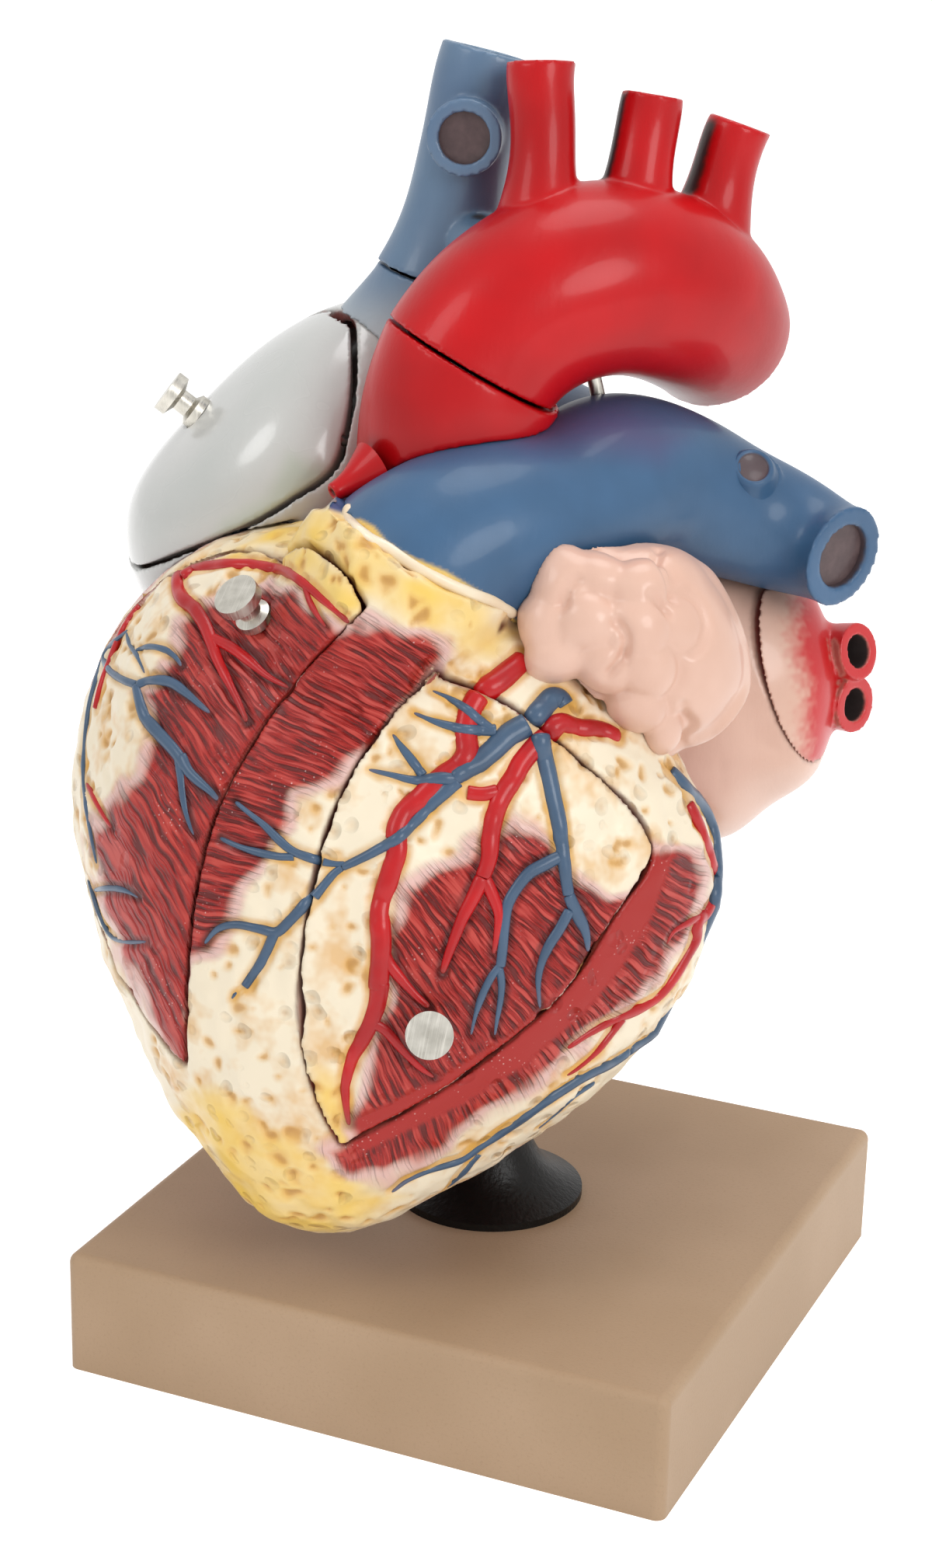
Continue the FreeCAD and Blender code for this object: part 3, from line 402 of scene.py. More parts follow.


# Airbrushed lacquer on resin castings: even colour in faint clouds, soft brush marks and orange peel, glossy
# where it is varnished. Each finish may hold masks, which are sprayed over in a second colour; on the grey
# atrium the pale green second colour is a painted reflection.
lacquers = {
    "arteryRed": {"main": "#BE070F", "second": "#A4060C", "cloudMm": 40, "peelMm": 1.2, "rough": 0.34,
                  "gloss": 0.2, "coat": 0.16,
                  "masks": {"tintAndPaintedReflection": "#7E1220", "lining": "#3A1B18", "bore": "#4A2E2A"}},
    "veinBlue": {"main": "#3C5F82", "second": "#345474", "cloudMm": 30, "peelMm": 1.2, "rough": 0.4,
                 "gloss": 0.3, "coat": 0.16,
                 "masks": {"tintAndPaintedReflection": "#51486E", "fat": "#DDB964", "lining": "#34302F", "bore": "#54474A"}},
    "caveBlue": {"main": "#59758F", "second": "#4D6784", "cloudMm": 30, "peelMm": 1.2, "rough": 0.4,
                 "coat": 0.2, "masks": {"tintAndPaintedReflection": "#B9BEBF", "lining": "#34302F", "bore": "#54474A"}},
    # its pale green second colour is a painted reflection along the wall's lower facet
    "atriumGrey": {"main": "#C2C1BE", "second": "#B7B9B5", "cloudMm": 45, "peelMm": 1.5, "rough": 0.24,
                   "coat": 0.6, "masks": {"tintAndPaintedReflection": "#A9B3A2", "lining": "#9A4A42", "seam": "#86827D"}},
    "atriumPink": {"main": "#DBB5A2", "second": "#D0A692", "cloudMm": 35, "peelMm": 1.0, "rough": 0.45,
                   "masks": {"tintAndPaintedReflection": "#C09A8B", "blush": "#BE1016", "lining": "#A5564D", "seam": "#A88475",
                             "bore": "#3A302F"}},
    "lungVeinRed": {"main": "#C21A1E", "second": "#B1161B", "cloudMm": 20, "peelMm": 1.0, "rough": 0.4,
                    "masks": {"lining": "#3A302F", "bore": "#3A302F"}},
    "coronaryRed": {"main": "#B90C12", "second": "#A00A10", "cloudMm": 12, "peelMm": 0.9, "rough": 0.34,
                    "gloss": 0.3, "coat": 0.2, "masks": {"tip": "#8E2B26"}},
    "coronaryBlue": {"main": "#405872", "second": "#364C64", "cloudMm": 12, "peelMm": 0.9, "rough": 0.36,
                     "gloss": 0.35, "coat": 0.2, "masks": {"tip": "#5B5A6E"}},
    "boreBrown": {"main": "#4A3A3B", "second": "#5C4B4B", "cloudMm": 4, "peelMm": 0.7, "rough": 0.5,
                  "gloss": 0.3, "coat": 0.1, "masks": {}},
    "valveResin": {"main": "#EADCC2", "second": "#DFC9A9", "cloudMm": 12, "peelMm": 0.8, "rough": 0.42,
                   "masks": {}},
}


def sprayedLacquer(name, values):
    material, tree, place = startFinish(name)
    cloud = add(tree, "TexNoise", {"Vector": place, "Scale": 1 / values["cloudMm"], "Detail": 3.0})
    clouded = add(tree, "MapRange", {"Value": cloud, "From Min": 0.35, "From Max": 0.7})
    coats = [(add(tree, "Attribute", {"attribute_name": mask}, "Fac"), code)
             for mask, code in values["masks"].items()]
    colour = layered(tree, toLinear(values["main"]), [(clouded, values["second"])] + coats)
    peel = add(tree, "TexNoise", {"Vector": place, "Scale": 1 / values["peelMm"], "Detail": 2.0})
    stroke = add(tree, "Mapping", {"Vector": place, "Scale": (0.5, 0.12, 0.12), "Rotation": (0.4, 0.7, 0.3)})
    brushed = add(tree, "TexNoise", {"Vector": stroke, "Scale": 1.0, "Detail": 3.0})
    height = add(tree, "Math", {"operation": "MULTIPLY_ADD", 0: peel, 1: 0.35, 2: brushed})
    bump = add(tree, "Bump", {"Height": height, "Strength": 0.35, "Distance": 0.2 * mm})
    sheen = add(tree, "MapRange", {"Value": cloud, "From Min": 0.3, "From Max": 0.7,
                                   "To Min": values["rough"] - 0.04, "To Max": values["rough"] + 0.06})
    surface = add(tree, "BsdfPrincipled", {"Base Color": colour, "Normal": bump, "Roughness": sheen,
                                           "IOR": 1.5, "Specular IOR Level": values.get("gloss", 0.5),
                                           "Coat Weight": values.get("coat", 0.3), "Coat Roughness": 0.12})
    add(tree, "OutputMaterial", {"Surface": surface})
    return material


# ABS, injection moulded in an eroded tool: evenly matt or semi-gloss, with a fine grain in the surface.
mouldings = {
    "beigeAbs": {"main": "#B2977C", "second": "#A88D71", "fleck": "#957B60", "cloudMm": 60, "gritMm": 0.9,
                 "bump": 0.35, "rough": 0.5, "gloss": 0.2},
    "blackAbs": {"main": "#100E0C", "second": "#161412", "fleck": "#050505", "cloudMm": 60, "gritMm": 1.8,
                 "bump": 1.0, "rough": 0.36, "gloss": 0.2},
}


def mouldedAbs(name, values):
    material, tree, place = startFinish(name)
    cloud = add(tree, "TexNoise", {"Vector": place, "Scale": 1 / values["cloudMm"], "Detail": 2.0})
    clouded = add(tree, "MapRange", {"Value": cloud, "From Min": 0.35, "From Max": 0.65})
    grit = add(tree, "TexNoise", {"Vector": place, "Scale": 1 / values["gritMm"], "Detail": 2.0,
                                  "Roughness": 0.7})
    fleck = add(tree, "MapRange", {"Value": grit, "From Min": 0.55, "From Max": 0.75, "To Max": 0.35})
    colour = layered(tree, toLinear(values["main"]), [(clouded, values["second"]), (fleck, values["fleck"])])
    bump = add(tree, "Bump", {"Height": grit, "Strength": values["bump"], "Distance": 0.25 * mm})
    surface = add(tree, "BsdfPrincipled", {"Base Color": colour, "Normal": bump, "Roughness": values["rough"],
                                           "IOR": 1.5, "Specular IOR Level": values["gloss"]})
    add(tree, "OutputMaterial", {"Surface": surface})
    return material


# Turned steel, zinc plated or plain: bright, with lathe marks too fine to show and so drawn coarser.
steels = {
    "zincSteel": {"main": "#CFCBC1", "second": "#B2AEA4", "mark": "#E8E4DA", "cloudMm": 4, "markMm": 0.4,
                  "rough": 0.3},
    "plainSteel": {"main": "#8F8F8C", "second": "#767673", "mark": "#D8D6D0", "cloudMm": 4, "markMm": 0.5,
                   "rough": 0.35},
}


def turnedSteel(name, values):
    material, tree, place = startFinish(name)
    cloud = add(tree, "TexNoise", {"Vector": place, "Scale": 1 / values["cloudMm"], "Detail": 2.0})
    clouded = add(tree, "MapRange", {"Value": cloud, "From Min": 0.3, "From Max": 0.7})
    lathe = add(tree, "Mapping", {"Vector": place, "Rotation": (0.2, 0.3, 0.2),
                                  "Scale": (1 / values["markMm"], 0.05, 0.05)})
    marks = add(tree, "TexNoise", {"Vector": lathe, "Scale": 1.0, "Detail": 2.0})
    bright = add(tree, "MapRange", {"Value": marks, "From Min": 0.55, "From Max": 0.7, "To Max": 0.4})
    colour = layered(tree, toLinear(values["main"]), [(clouded, values["second"]), (bright, values["mark"])])
    bump = add(tree, "Bump", {"Height": marks, "Strength": 0.25, "Distance": 0.06 * mm})
    sheen = add(tree, "MapRange", {"Value": marks, "From Min": 0.3, "From Max": 0.7,
                                   "To Min": values["rough"] - 0.06, "To Max": values["rough"] + 0.1})
    surface = add(tree, "BsdfPrincipled", {"Base Color": colour, "Normal": bump, "Roughness": sheen,
                                           "Metallic": 1.0})
    add(tree, "OutputMaterial", {"Surface": surface})
    return material


finishes = {"resin": paintedResin()}
finishes.update({name: sprayedLacquer(name, values) for name, values in lacquers.items()})
finishes.update({name: mouldedAbs(name, values) for name, values in mouldings.items()})
finishes.update({name: turnedSteel(name, values) for name, values in steels.items()})
print("finishes made:", len(finishes))


# Studio: a pale floor, a large soft lamp to the upper left, weaker ones right and above, and an even world.
studio = {"floor": "#FFFFFF", "floorHalf": 9.0, "floorGlow": 0.55, "world": 0.66, "aim": (0.0, 0.0, 0.19),
          "lamps": [("keyLamp", (-0.75, -1.15, 1.25), 0.7, 5), ("fillLamp", (1.35, -0.75, 0.85), 0.8, 10),
                    ("topLamp", (0.1, 0.25, 1.6), 0.9, 7)]}


def lookedAt(tree):
    # 1 where the eye, gloss or glass looks at a surface, 0 where it gives light to others
    share = add(tree, "LightPath", out="Is Camera Ray")
    rays = share.node.outputs
    for kind in ("Is Glossy Ray", "Is Transmission Ray"):
        share = add(tree, "Math", {"operation": "MAXIMUM", 0: share, 1: rays[kind]})
    return share


def makeWorld():
    # plain white to the eye, and a plain light to everything else
    world = bpy.data.worlds.new("studio")
    tree = emptied(world)
    light = add(tree, "Background", {"Color": (1, 1, 1, 1), "Strength": studio["world"]})
    white = add(tree, "Background", {"Color": (1, 1, 1, 1), "Strength": 1.0})
    add(tree, "OutputWorld", {"Surface": add(tree, "MixShader", {0: lookedAt(tree), 1: light, 2: white})})
    bpy.context.scene.world = world


def makeFloor():
    # it glows a little to the eye, so that it meets the world without a line and still takes the shadow
    paper = bpy.data.materials.new("paperFloor")
    tree = emptied(paper)
    glow = add(tree, "Math", {"operation": "MULTIPLY", 0: lookedAt(tree), 1: studio["floorGlow"]})
    matt = add(tree, "BsdfDiffuse", {"Color": toLinear(studio["floor"])})
    lit = add(tree, "Emission", {"Color": (1, 1, 1, 1), "Strength": glow})
    add(tree, "OutputMaterial", {"Surface": add(tree, "AddShader", {0: matt, 1: lit})})
    far = studio["floorHalf"]
    mesh = bpy.data.meshes.new("floor")
    mesh.from_pydata([(-far, -far, 0), (far, -far, 0), (far, far, 0), (-far, far, 0)], [], [(0, 1, 2, 3)])
    mesh.materials.append(paper)
    floor = placed("floor", mesh)


def makeLamps():
    for name, place, size, power in studio["lamps"]:
        lamp = bpy.data.lights.new(name, "AREA")
        lamp.shape = "DISK"
        lamp.size = size
        lamp.energy = power
        holder = placed(name, lamp)
        holder.location = place
        holder.rotation_euler = (Vector(studio["aim"]) - Vector(place)).to_track_quat("-Z", "Y").to_euler()


makeWorld()
makeFloor()
makeLamps()
bpy.context.scene.view_settings.view_transform = "Standard"
print("studio lit")


# The ventricles' casting and its two lift-off walls. Muscle is given as outlines in the camera's frame, and
# all the rest of the outside is fat.
muscleOutlines = {
    "ventricles": [
        # strip between the two walls
        [(452, 795), (500, 806), (545, 822), (580, 836), (556, 872), (528, 906), (500, 944), (474, 972),
         (440, 1000), (385, 1030), (372, 1062), (345, 1090), (318, 1130), (300, 1165), (292, 1200),
         (268, 1225), (225, 1260), (225, 1130), (262, 1010), (318, 910), (372, 850), (420, 810)],
        # band along the lower right edge of the left ventricle's wall
        [(838, 1085), (868, 1085), (898, 1100), (914, 1128), (910, 1165), (884, 1210), (850, 1255),
         (812, 1292), (770, 1332), (725, 1368), (685, 1396), (640, 1430), (590, 1466), (540, 1498),
         (495, 1518), (450, 1510), (420, 1475), (540, 1390), (650, 1305), (720, 1230), (780, 1140)],
    ],
    "right_ventricle_wall": [
        [(232, 800), (262, 770), (300, 758), (350, 752), (384, 762), (410, 790), (462, 812), (455, 850),
         (370, 930), (290, 1060), (262, 1200), (252, 1392), (228, 1375), (186, 1300), (150, 1225),
         (128, 1150), (118, 1075), (128, 1048), (150, 1028), (172, 1000), (196, 960), (186, 915), (175, 890),
         (212, 868), (224, 836)],
    ],
    "left_ventricle_wall": [
        [(505, 1190), (520, 1142), (560, 1110), (590, 1098), (612, 1078), (640, 1058), (664, 1050),
         (700, 1062), (716, 1082), (738, 1120), (768, 1140), (792, 1158), (822, 1150), (862, 1090),
         (850, 1180), (760, 1300), (640, 1400), (520, 1470), (468, 1492), (452, 1450), (470, 1395),
         (478, 1340), (498, 1280)],
    ],
}
# Yellow fat round the pulmonary root and at the apex.
yellowOutlines = {
    "ventricles": [
        [(262, 712), (300, 694), (350, 672), (400, 655), (440, 652), (480, 690), (530, 728), (580, 752),
         (640, 790), (665, 822), (640, 850), (598, 838), (552, 812), (500, 790), (455, 772), (400, 726),
         (330, 705)],
        [(205, 1470), (250, 1400), (330, 1440), (380, 1470), (420, 1500), (520, 1540), (430, 1600),
         (330, 1610), (270, 1570)],
    ],
    "right_ventricle_wall": [[(250, 716), (330, 690), (400, 695), (475, 765), (480, 800), (450, 796),
                              (420, 768), (385, 741), (344, 723), (300, 719)]],
    "left_ventricle_wall": [[(400, 1360), (440, 1400), (455, 1440), (470, 1500), (440, 1490), (410, 1430)]],
}
# Where the carved fibres point: each patch fans out from one spot of the camera's frame, so many pixels away.
fibreFans = {"strip": ((1263, 1350), 1010), "band": ((300, 850), 640), "left_ventricle_wall": ((0, 480), 980),
             "right_ventricle_wall": ((-450, -80), 1250)}
# The band is what lies to the lower right of this line. At the heart, a millimetre is so many pixels of the
# frame.
bandLine = {"through": (480, 1330), "lean": 0.6}
pixelsPerMm = 4.75
# The left wall's lower edge, along which the muscle is left smooth: wholly within the second number of pixels
# and not at all beyond the first.
smoothEdge = [(850, 1082), (822, 1168), (780, 1238), (731, 1294), (668, 1350), (577, 1406), (466, 1460)]
smoothPixels = (27, 18)

# The line where the trunk's blue meets the fat. The places above close it to an outline of the blue, those
# below to one of the fat. The band has no seam paint, and the fat's top corner is trimmed to a slope.
rootLine = [(421, 649), (438, 656), (464, 668), (481, 677), (495, 694), (511, 707), (536, 719), (574, 735),
            (610, 757), (639, 773), (668, 802)]
rootAbove = [(700, 760), (640, 590), (430, 590), (400, 640)]
rootBelow = [(668, 850), (400, 850), (400, 668)]
rootBand = {"halfPixels": 16, "soft": 8, "edge": 3}
rootTrim = {"from": (416, 656), "to": (454, 616), "soft": 12, "reach": 60, "fade": (90, 60)}

# Relief and paint of the castings: sizes across and heights in millimetres, softness of the paint in pixels,
# and how far a surface faces the camera or away from the heart's middle, as a cosine, for each change of
# paint.
casting = {"voxelMm": 0.8, "easeRounds": 4, "wallVoxelMm": 0.6, "wallEaseRounds": 6, "stirMm": 7,
           "stirPixels": 26, "softPixels": 16, "yellowSoftPixels": 18, "mottleMm": 8, "patchMm": (48, 15),
           "patchShare": (0.52, 0.64), "finePart": 0.25, "leastYellow": 0.35, "lumpMm": 11,
           "lumpHighMm": 1.5, "crumbMm": 4.2, "crumbHighMm": 0.7, "grooveDeepMm": 0.6,
           "grooveMm": (1.8, 0.3), "rimMm": (2.0, 0.2), "liningMm": 6, "liningHighMm": 0.9,
           "lumpOnFat": 1.6, "crumbOnFat": 1.3, "bareRounds": 14, "bareGain": 3.5, "seenFacing": (-0.15, 0.1),
           "chamberFacing": (-0.1, -0.3), "splitFacing": (-0.2, 0.05)}
pits = {"everyMm": 10.5, "radiusMm": (1.3, 3.8), "slope": (1.0, 0.15), "deepMm": 0.9, "warpSizeMm": 3.5,
        "warpMm": 4.0, "seed": 5}
castNodes = {"ventricles": "heart", "right_ventricle_wall": "right_ventricle_front",
             "left_ventricle_wall": "left_ventricle_front"}

# Coronary vessels, by the piece that carries them: widths in millimetres at the start, middle and end, then
# the course in the camera's frame.
arteries = {
    "right_ventricle_wall": [
        (4.4, 3.2, 1.2, [(234, 742), (250, 732), (282, 726), (312, 725), (344, 729), (368, 735), (392, 752),
                         (416, 772), (434, 788), (450, 802)]),
        (1.9, 1.7, 0.9, [(392, 752), (397, 770), (406, 788), (420, 808)]),
        (4.6, 4.0, 1.4, [(232, 722), (228, 750), (234, 770), (250, 784), (262, 802), (272, 826), (280, 850),
                         (294, 878), (308, 906), (318, 930)]),
        (3.4, 2.8, 1.0, [(270, 820), (296, 832), (320, 850), (344, 870), (374, 886)]),
        (2.6, 2.4, 2.0, [(190, 768), (174, 784), (161, 804), (151, 824), (141, 848), (130, 880), (121, 914)]),
        (1.6, 2.0, 0.8, [(110, 1006), (124, 1034), (136, 1054), (144, 1066)]),
    ],
    "left_ventricle_wall": [
        (6.4, 6.2, 6.0, [(668, 842), (650, 858), (634, 872), (620, 890), (606, 913), (600, 940), (603, 967),
                         (592, 984), (574, 996), (556, 1012), (538, 1030), (522, 1046), (512, 1062),
                         (510, 1080)]),
        (5.4, 5.6, 5.6, [(516, 1050), (511, 1068), (511, 1095), (503, 1122), (494, 1149), (489, 1181),
                         (491, 1217), (489, 1249), (487, 1276)]),
        (5.6, 4.0, 1.2, [(489, 1262), (486, 1290), (478, 1315), (466, 1340), (453, 1363), (445, 1395),
                         (446, 1426), (450, 1450)]),
        (4.4, 3.0, 1.4, [(491, 1222), (500, 1240), (516, 1260), (535, 1281), (553, 1297)]),
        (3.6, 2.4, 1.0, [(476, 1316), (496, 1326), (518, 1352), (538, 1372), (560, 1388)]),
        (6.0, 5.6, 4.4, [(760, 936), (738, 930), (722, 932), (708, 944), (692, 958), (676, 976), (662, 999),
                         (648, 1022), (639, 1045), (632, 1076), (630, 1104), (621, 1131)]),
        (4.4, 3.4, 1.4, [(622, 1128), (610, 1154), (596, 1181), (585, 1208), (575, 1235), (569, 1254)]),
        (4.2, 4.0, 4.0, [(600, 1020), (620, 1022), (642, 1018)]),
        (3.8, 3.0, 1.4, [(624, 1130), (635, 1154), (643, 1178), (640, 1204), (635, 1230)]),
    ],
    "ventricles": [
        (6.2, 7.2, 6.8, [(676, 846), (654, 866), (632, 884), (616, 900), (606, 916)]),
        (4.6, 5.4, 6.2, [(797, 947), (771, 937), (745, 936), (722, 930), (704, 948), (690, 960)]),
        (4.2, 5.2, 1.8, [(886, 1032), (902, 1062), (912, 1092), (920, 1121), (921, 1146), (912, 1171),
                         (898, 1188), (895, 1210), (882, 1235), (862, 1267), (838, 1290), (812, 1304),
                         (783, 1317), (754, 1333), (729, 1350)]),
        (2.6, 2.0, 0.9, [(902, 1180), (883, 1190), (867, 1200), (858, 1216)]),
        (2.8, 2.2, 0.8, [(803, 1310), (783, 1336), (767, 1356), (746, 1374), (729, 1385)]),
        (2.4, 2.2, 1.0, [(918, 1160), (912, 1200), (903, 1233), (894, 1258)]),
    ],
}
veins = {
    "right_ventricle_wall": [
        (1.2, 2.0, 2.6, [(166, 810), (148, 824), (132, 844), (140, 862), (156, 874), (176, 882)]),
        (3.0, 3.0, 0.9, [(176, 882), (196, 875), (220, 878), (240, 892), (256, 906), (271, 918)]),
        (1.0, 1.4, 0.8, [(162, 812), (166, 828), (176, 844), (187, 868)]),
        (1.2, 2.2, 1.0, [(172, 838), (192, 832), (212, 836), (226, 846), (234, 858)]),
        (3.0, 4.0, 3.6, [(174, 881), (178, 898), (186, 922), (204, 944), (226, 968), (240, 990)]),
        (3.8, 3.0, 1.2, [(232, 972), (242, 992), (256, 1006), (270, 1018), (281, 1030)]),
        (3.0, 2.2, 0.8, [(228, 968), (232, 994), (234, 1018), (238, 1042), (244, 1062), (250, 1076)]),
        (1.8, 2.0, 1.6, [(131, 846), (122, 878), (114, 914), (109, 954), (107, 994), (110, 1034), (117, 1074),
                         (125, 1114)]),
        (1.6, 2.0, 0.8, [(118, 1146), (140, 1143), (160, 1146), (179, 1156)]),
        (1.4, 1.8, 0.8, [(112, 1130), (120, 1154), (128, 1178), (140, 1202), (158, 1212), (190, 1212)]),
    ],
    "left_ventricle_wall": [
        (7.0, 6.2, 5.4, [(728, 892), (716, 898), (700, 912), (684, 928), (655, 945), (632, 967), (607, 990),
                         (584, 1006)]),
        (5.4, 3.2, 2.2, [(590, 1002), (572, 1018), (557, 1032), (537, 1054), (516, 1076), (489, 1092),
                         (462, 1106), (439, 1117)]),
        (2.2, 2.6, 2.8, [(441, 1116), (430, 1124), (418, 1138), (404, 1156), (392, 1170), (380, 1180)]),
        (1.6, 2.0, 2.4, [(446, 1112), (430, 1112), (415, 1109), (401, 1106), (384, 1100)]),
        (3.6, 2.6, 0.7, [(640, 940), (620, 940), (598, 938), (575, 933), (553, 926), (532, 917)]),
        (3.4, 2.6, 0.7, [(634, 942), (616, 926), (603, 914), (580, 899), (555, 888)]),
        (3.8, 2.6, 0.7, [(590, 1004), (560, 1001), (534, 1004), (503, 997), (473, 990)]),
        (3.0, 2.4, 0.7, [(546, 1000), (530, 978), (516, 960), (505, 944)]),
        (5.4, 4.6, 3.4, [(694, 912), (698, 954), (705, 990), (712, 1022), (719, 1054), (723, 1090),
                         (728, 1122), (732, 1154)]),
        (3.4, 3.6, 0.9, [(731, 1150), (742, 1174), (754, 1199), (757, 1226), (752, 1249), (745, 1267)]),
        (3.6, 3.4, 3.0, [(722, 1102), (700, 1113), (681, 1124), (664, 1145), (653, 1167), (649, 1195),
                         (647, 1222), (644, 1246)]),
        (2.4, 2.2, 0.8, [(644, 1242), (632, 1258), (621, 1281), (612, 1308), (606, 1334)]),
        (2.2, 2.0, 0.7, [(643, 1244), (646, 1267), (644, 1290), (640, 1313), (637, 1334)]),
        (3.2, 3.0, 0.8, [(734, 1170), (721, 1195), (707, 1217), (697, 1240), (693, 1267), (696, 1306)]),
    ],
    "ventricles": [
        (5.6, 6.6, 5.8, [(730, 908), (722, 899), (710, 899), (698, 912), (684, 928)]),
        (1.0, 2.6, 2.6, [(302, 1031), (320, 1046), (340, 1062), (360, 1082), (378, 1096), (399, 1104),
                         (420, 1110), (436, 1113)]),
        (1.0, 2.2, 2.2, [(282, 1078), (304, 1088), (328, 1096), (356, 1102), (380, 1103)]),
        (1.2, 3.0, 3.2, [(262, 1216), (280, 1196), (304, 1190), (336, 1196), (356, 1200), (372, 1186),
                         (388, 1170), (400, 1156), (414, 1138)]),
        (3.0, 3.2, 2.4, [(354, 1200), (344, 1222), (334, 1242), (323, 1258), (314, 1271)]),
        (0.8, 1.2, 0.6, [(305, 1277), (301, 1281), (298, 1286)]),
        (4.4, 5.0, 4.0, [(862, 990), (890, 1018), (910, 1044), (921, 1075), (925, 1108), (923, 1142),
                         (916, 1200), (907, 1238), (892, 1267), (871, 1296), (842, 1329), (808, 1354)]),
        (4.0, 3.8, 1.0, [(810, 1353), (783, 1371), (758, 1383), (733, 1398), (704, 1417), (675, 1438),
                         (646, 1458), (622, 1474), (594, 1493), (557, 1505), (525, 1519), (503, 1536)]),
        (2.4, 2.4, 0.9, [(618, 1484), (596, 1510), (573, 1531), (540, 1556)]),
        (1.8, 1.6, 0.6, [(767, 1392), (742, 1410), (717, 1433), (692, 1454)]),
    ],
}
# Vessels that the camera doesn't see, as points beside the heart that are dropped onto it, in the frame's
# millimetres.
hiddenArteries = {
    "ventricles": [
        (3.4, 4.0, 1.4, [(-78, 40, 150), (-62, 80, 128), (-38, 104, 110), (-14, 104, 92), (0, 84, 64),
                         (-4, 48, 44), (-16, 10, 40)]),
        (2.6, 2.4, 0.9, [(-38, 104, 110), (-52, 84, 92), (-60, 58, 78), (-62, 30, 66)]),
        (2.4, 2.2, 0.9, [(0, 84, 64), (22, 66, 56), (34, 40, 54)]),
        (3.2, 2.8, 1.0, [(86, 50, 150), (70, 84, 126), (52, 92, 100), (40, 80, 72)]),
    ],
}
hiddenVeins = {
    "ventricles": [
        (5.4, 6.4, 5.6, [(96, 30, 146), (82, 66, 128), (56, 96, 114), (24, 112, 106), (-8, 110, 102)]),
        (4.6, 4.0, 1.4, [(-6, 110, 102), (10, 100, 76), (14, 70, 52), (8, 34, 40), (-4, 0, 36)]),
        (3.2, 2.8, 0.9, [(56, 96, 114), (52, 84, 84), (44, 60, 60)]),
        (3.0, 2.6, 0.9, [(-8, 110, 102), (-30, 92, 78), (-44, 66, 62), (-46, 36, 52)]),
    ],
}
# A place amid the ventricles. Hidden vessels are dropped towards it, and the outside faces away from it.
heartMiddle = Vector((0.0016, 0.0295, 0.1765))
courseForm = {"perSpan": 7, "farMm": 200, "slackMm": 2.5, "leastFacing": 0.15, "nearNormals": 3,
              "nearPlaces": 1}
vesselForm = {"around": 12, "rise": 0.8, "sunk": 0.22, "slenderMm": 1.9, "bluntEnds": (0.9, 1.0, 1.0),
              "slenderEnds": (0.35, 0.8, 1.0), "tipMm": 1.6, "tipRun": 6, "unevenSizeMm": 5, "unevenMm": 0.35,
              "fewestPoints": 4}


def smoothRun(corners, perSpan):
    # points of a Catmull-Rom curve through the corners
    ends = [corners[0] * 2 - corners[1]] + list(corners) + [corners[-1] * 2 - corners[-2]]
    run = []
    for a, b, c, d in zip(ends, ends[1:], ends[2:], ends[3:]):
        for step in range(perSpan):
            t = step / perSpan
            bend = (c - a) * t + (2 * a - 5 * b + 4 * c - d) * t * t + (3 * b - a - 3 * c + d) * t ** 3
            run.append(0.5 * ((2 * b) + bend))
    return run + [corners[-1]]


def courseOn(tree, course, others=None):
    # where a painted course meets the surface: points with its normals, without those that the others hide
    spots = []
    for point in smoothRun([Vector(corner) for corner in course], courseForm["perSpan"]):
        if len(point) == 2:
            origin, direction = pixelRay(*point)
        else:
            direction = (heartMiddle - point * mm).normalized()
            origin = point * mm - direction * courseForm["farMm"] * mm
        place, normal, index, distance = tree.ray_cast(origin, direction)
        if place is not None and others is not None:
            over = others.ray_cast(origin, direction)[3]
            slack = courseForm["slackMm"] * mm / max(courseForm["leastFacing"], abs(normal.dot(direction)))
            place = place if over is None or over > distance - slack else None
        if place is not None:
            spots.append((place, normal))
    evenSpots = []
    for index in range(len(spots)):
        wide, close = (spots[max(0, index - courseForm[key]):index + courseForm[key] + 1]
                       for key in ("nearNormals", "nearPlaces"))
        flat = sum((normal for place, normal in wide), Vector())
        middle = sum((place for place, normal in close), Vector()) / len(close)
        evenSpots.append((middle, flat.normalized()))
    return evenSpots


def widthAt(vessel, share):
    first, half, last = vessel[:3]
    return first + (half - first) * share * 2 if share < 0.5 else half + (last - half) * (share * 2 - 1)


def halfWidth(vessel, index, last):
    # half the vessel's width in millimetres, drawn in at its ends
    slender = vessel[0 if index < last / 2 else 2] < vesselForm["slenderMm"]
    ends = vesselForm["slenderEnds" if slender else "bluntEnds"]
    return widthAt(vessel, index / last) / 2 * ends[min(index, last - index, 2)]


def layVessels(name, courses, tree, others, body, finish):
    # flattened tubes that lie half sunk in the surface, as carved relief
    corners, faces, tips = [], [], []
    around = vesselForm["around"]
    for vessel in courses:
        spots = courseOn(tree, vessel[3], others)
        if len(spots) < vesselForm["fewestPoints"]:
            continue
        last = len(spots) - 1
        firstRing = len(corners)
        for index, (place, normal) in enumerate(spots):
            along = (spots[min(index + 1, last)][0] - spots[max(index - 1, 0)][0]).normalized()
            side = normal.cross(along).normalized()
            up = along.cross(side).normalized()
            if up.dot(normal) < 0:
                up = -up
            half = halfWidth(vessel, index, last) * mm
            tip = max(0.0, 1 - (1 - index / last) * vesselForm["tipRun"])
            for step in range(around):
                turn = 2 * math.pi * step / around
                rise = math.sin(turn) * vesselForm["rise"] - vesselForm["sunk"]
                corners.append(place + side * math.cos(turn) * half + up * rise * half)
                tips.append(tip if vessel[2] < vesselForm["tipMm"] else 0.0)
        faces += ringFaces(len(spots), around, firstRing)
        faces.append(tuple(firstRing + step for step in reversed(range(around))))
        faces.append(tuple(firstRing + last * around + step for step in range(around)))
    mesh = meshFrom(name, corners, faces, finish)
    points, normals = readPoints(mesh)
    swell = uneven(points, vesselForm["unevenSizeMm"], 31, vesselForm["unevenMm"]) * mm
    reshaped(mesh, points + normals * swell[:, None])
    keep(mesh, "tip", np.array(tips))
    newPiece(name, mesh, body)
    return mesh


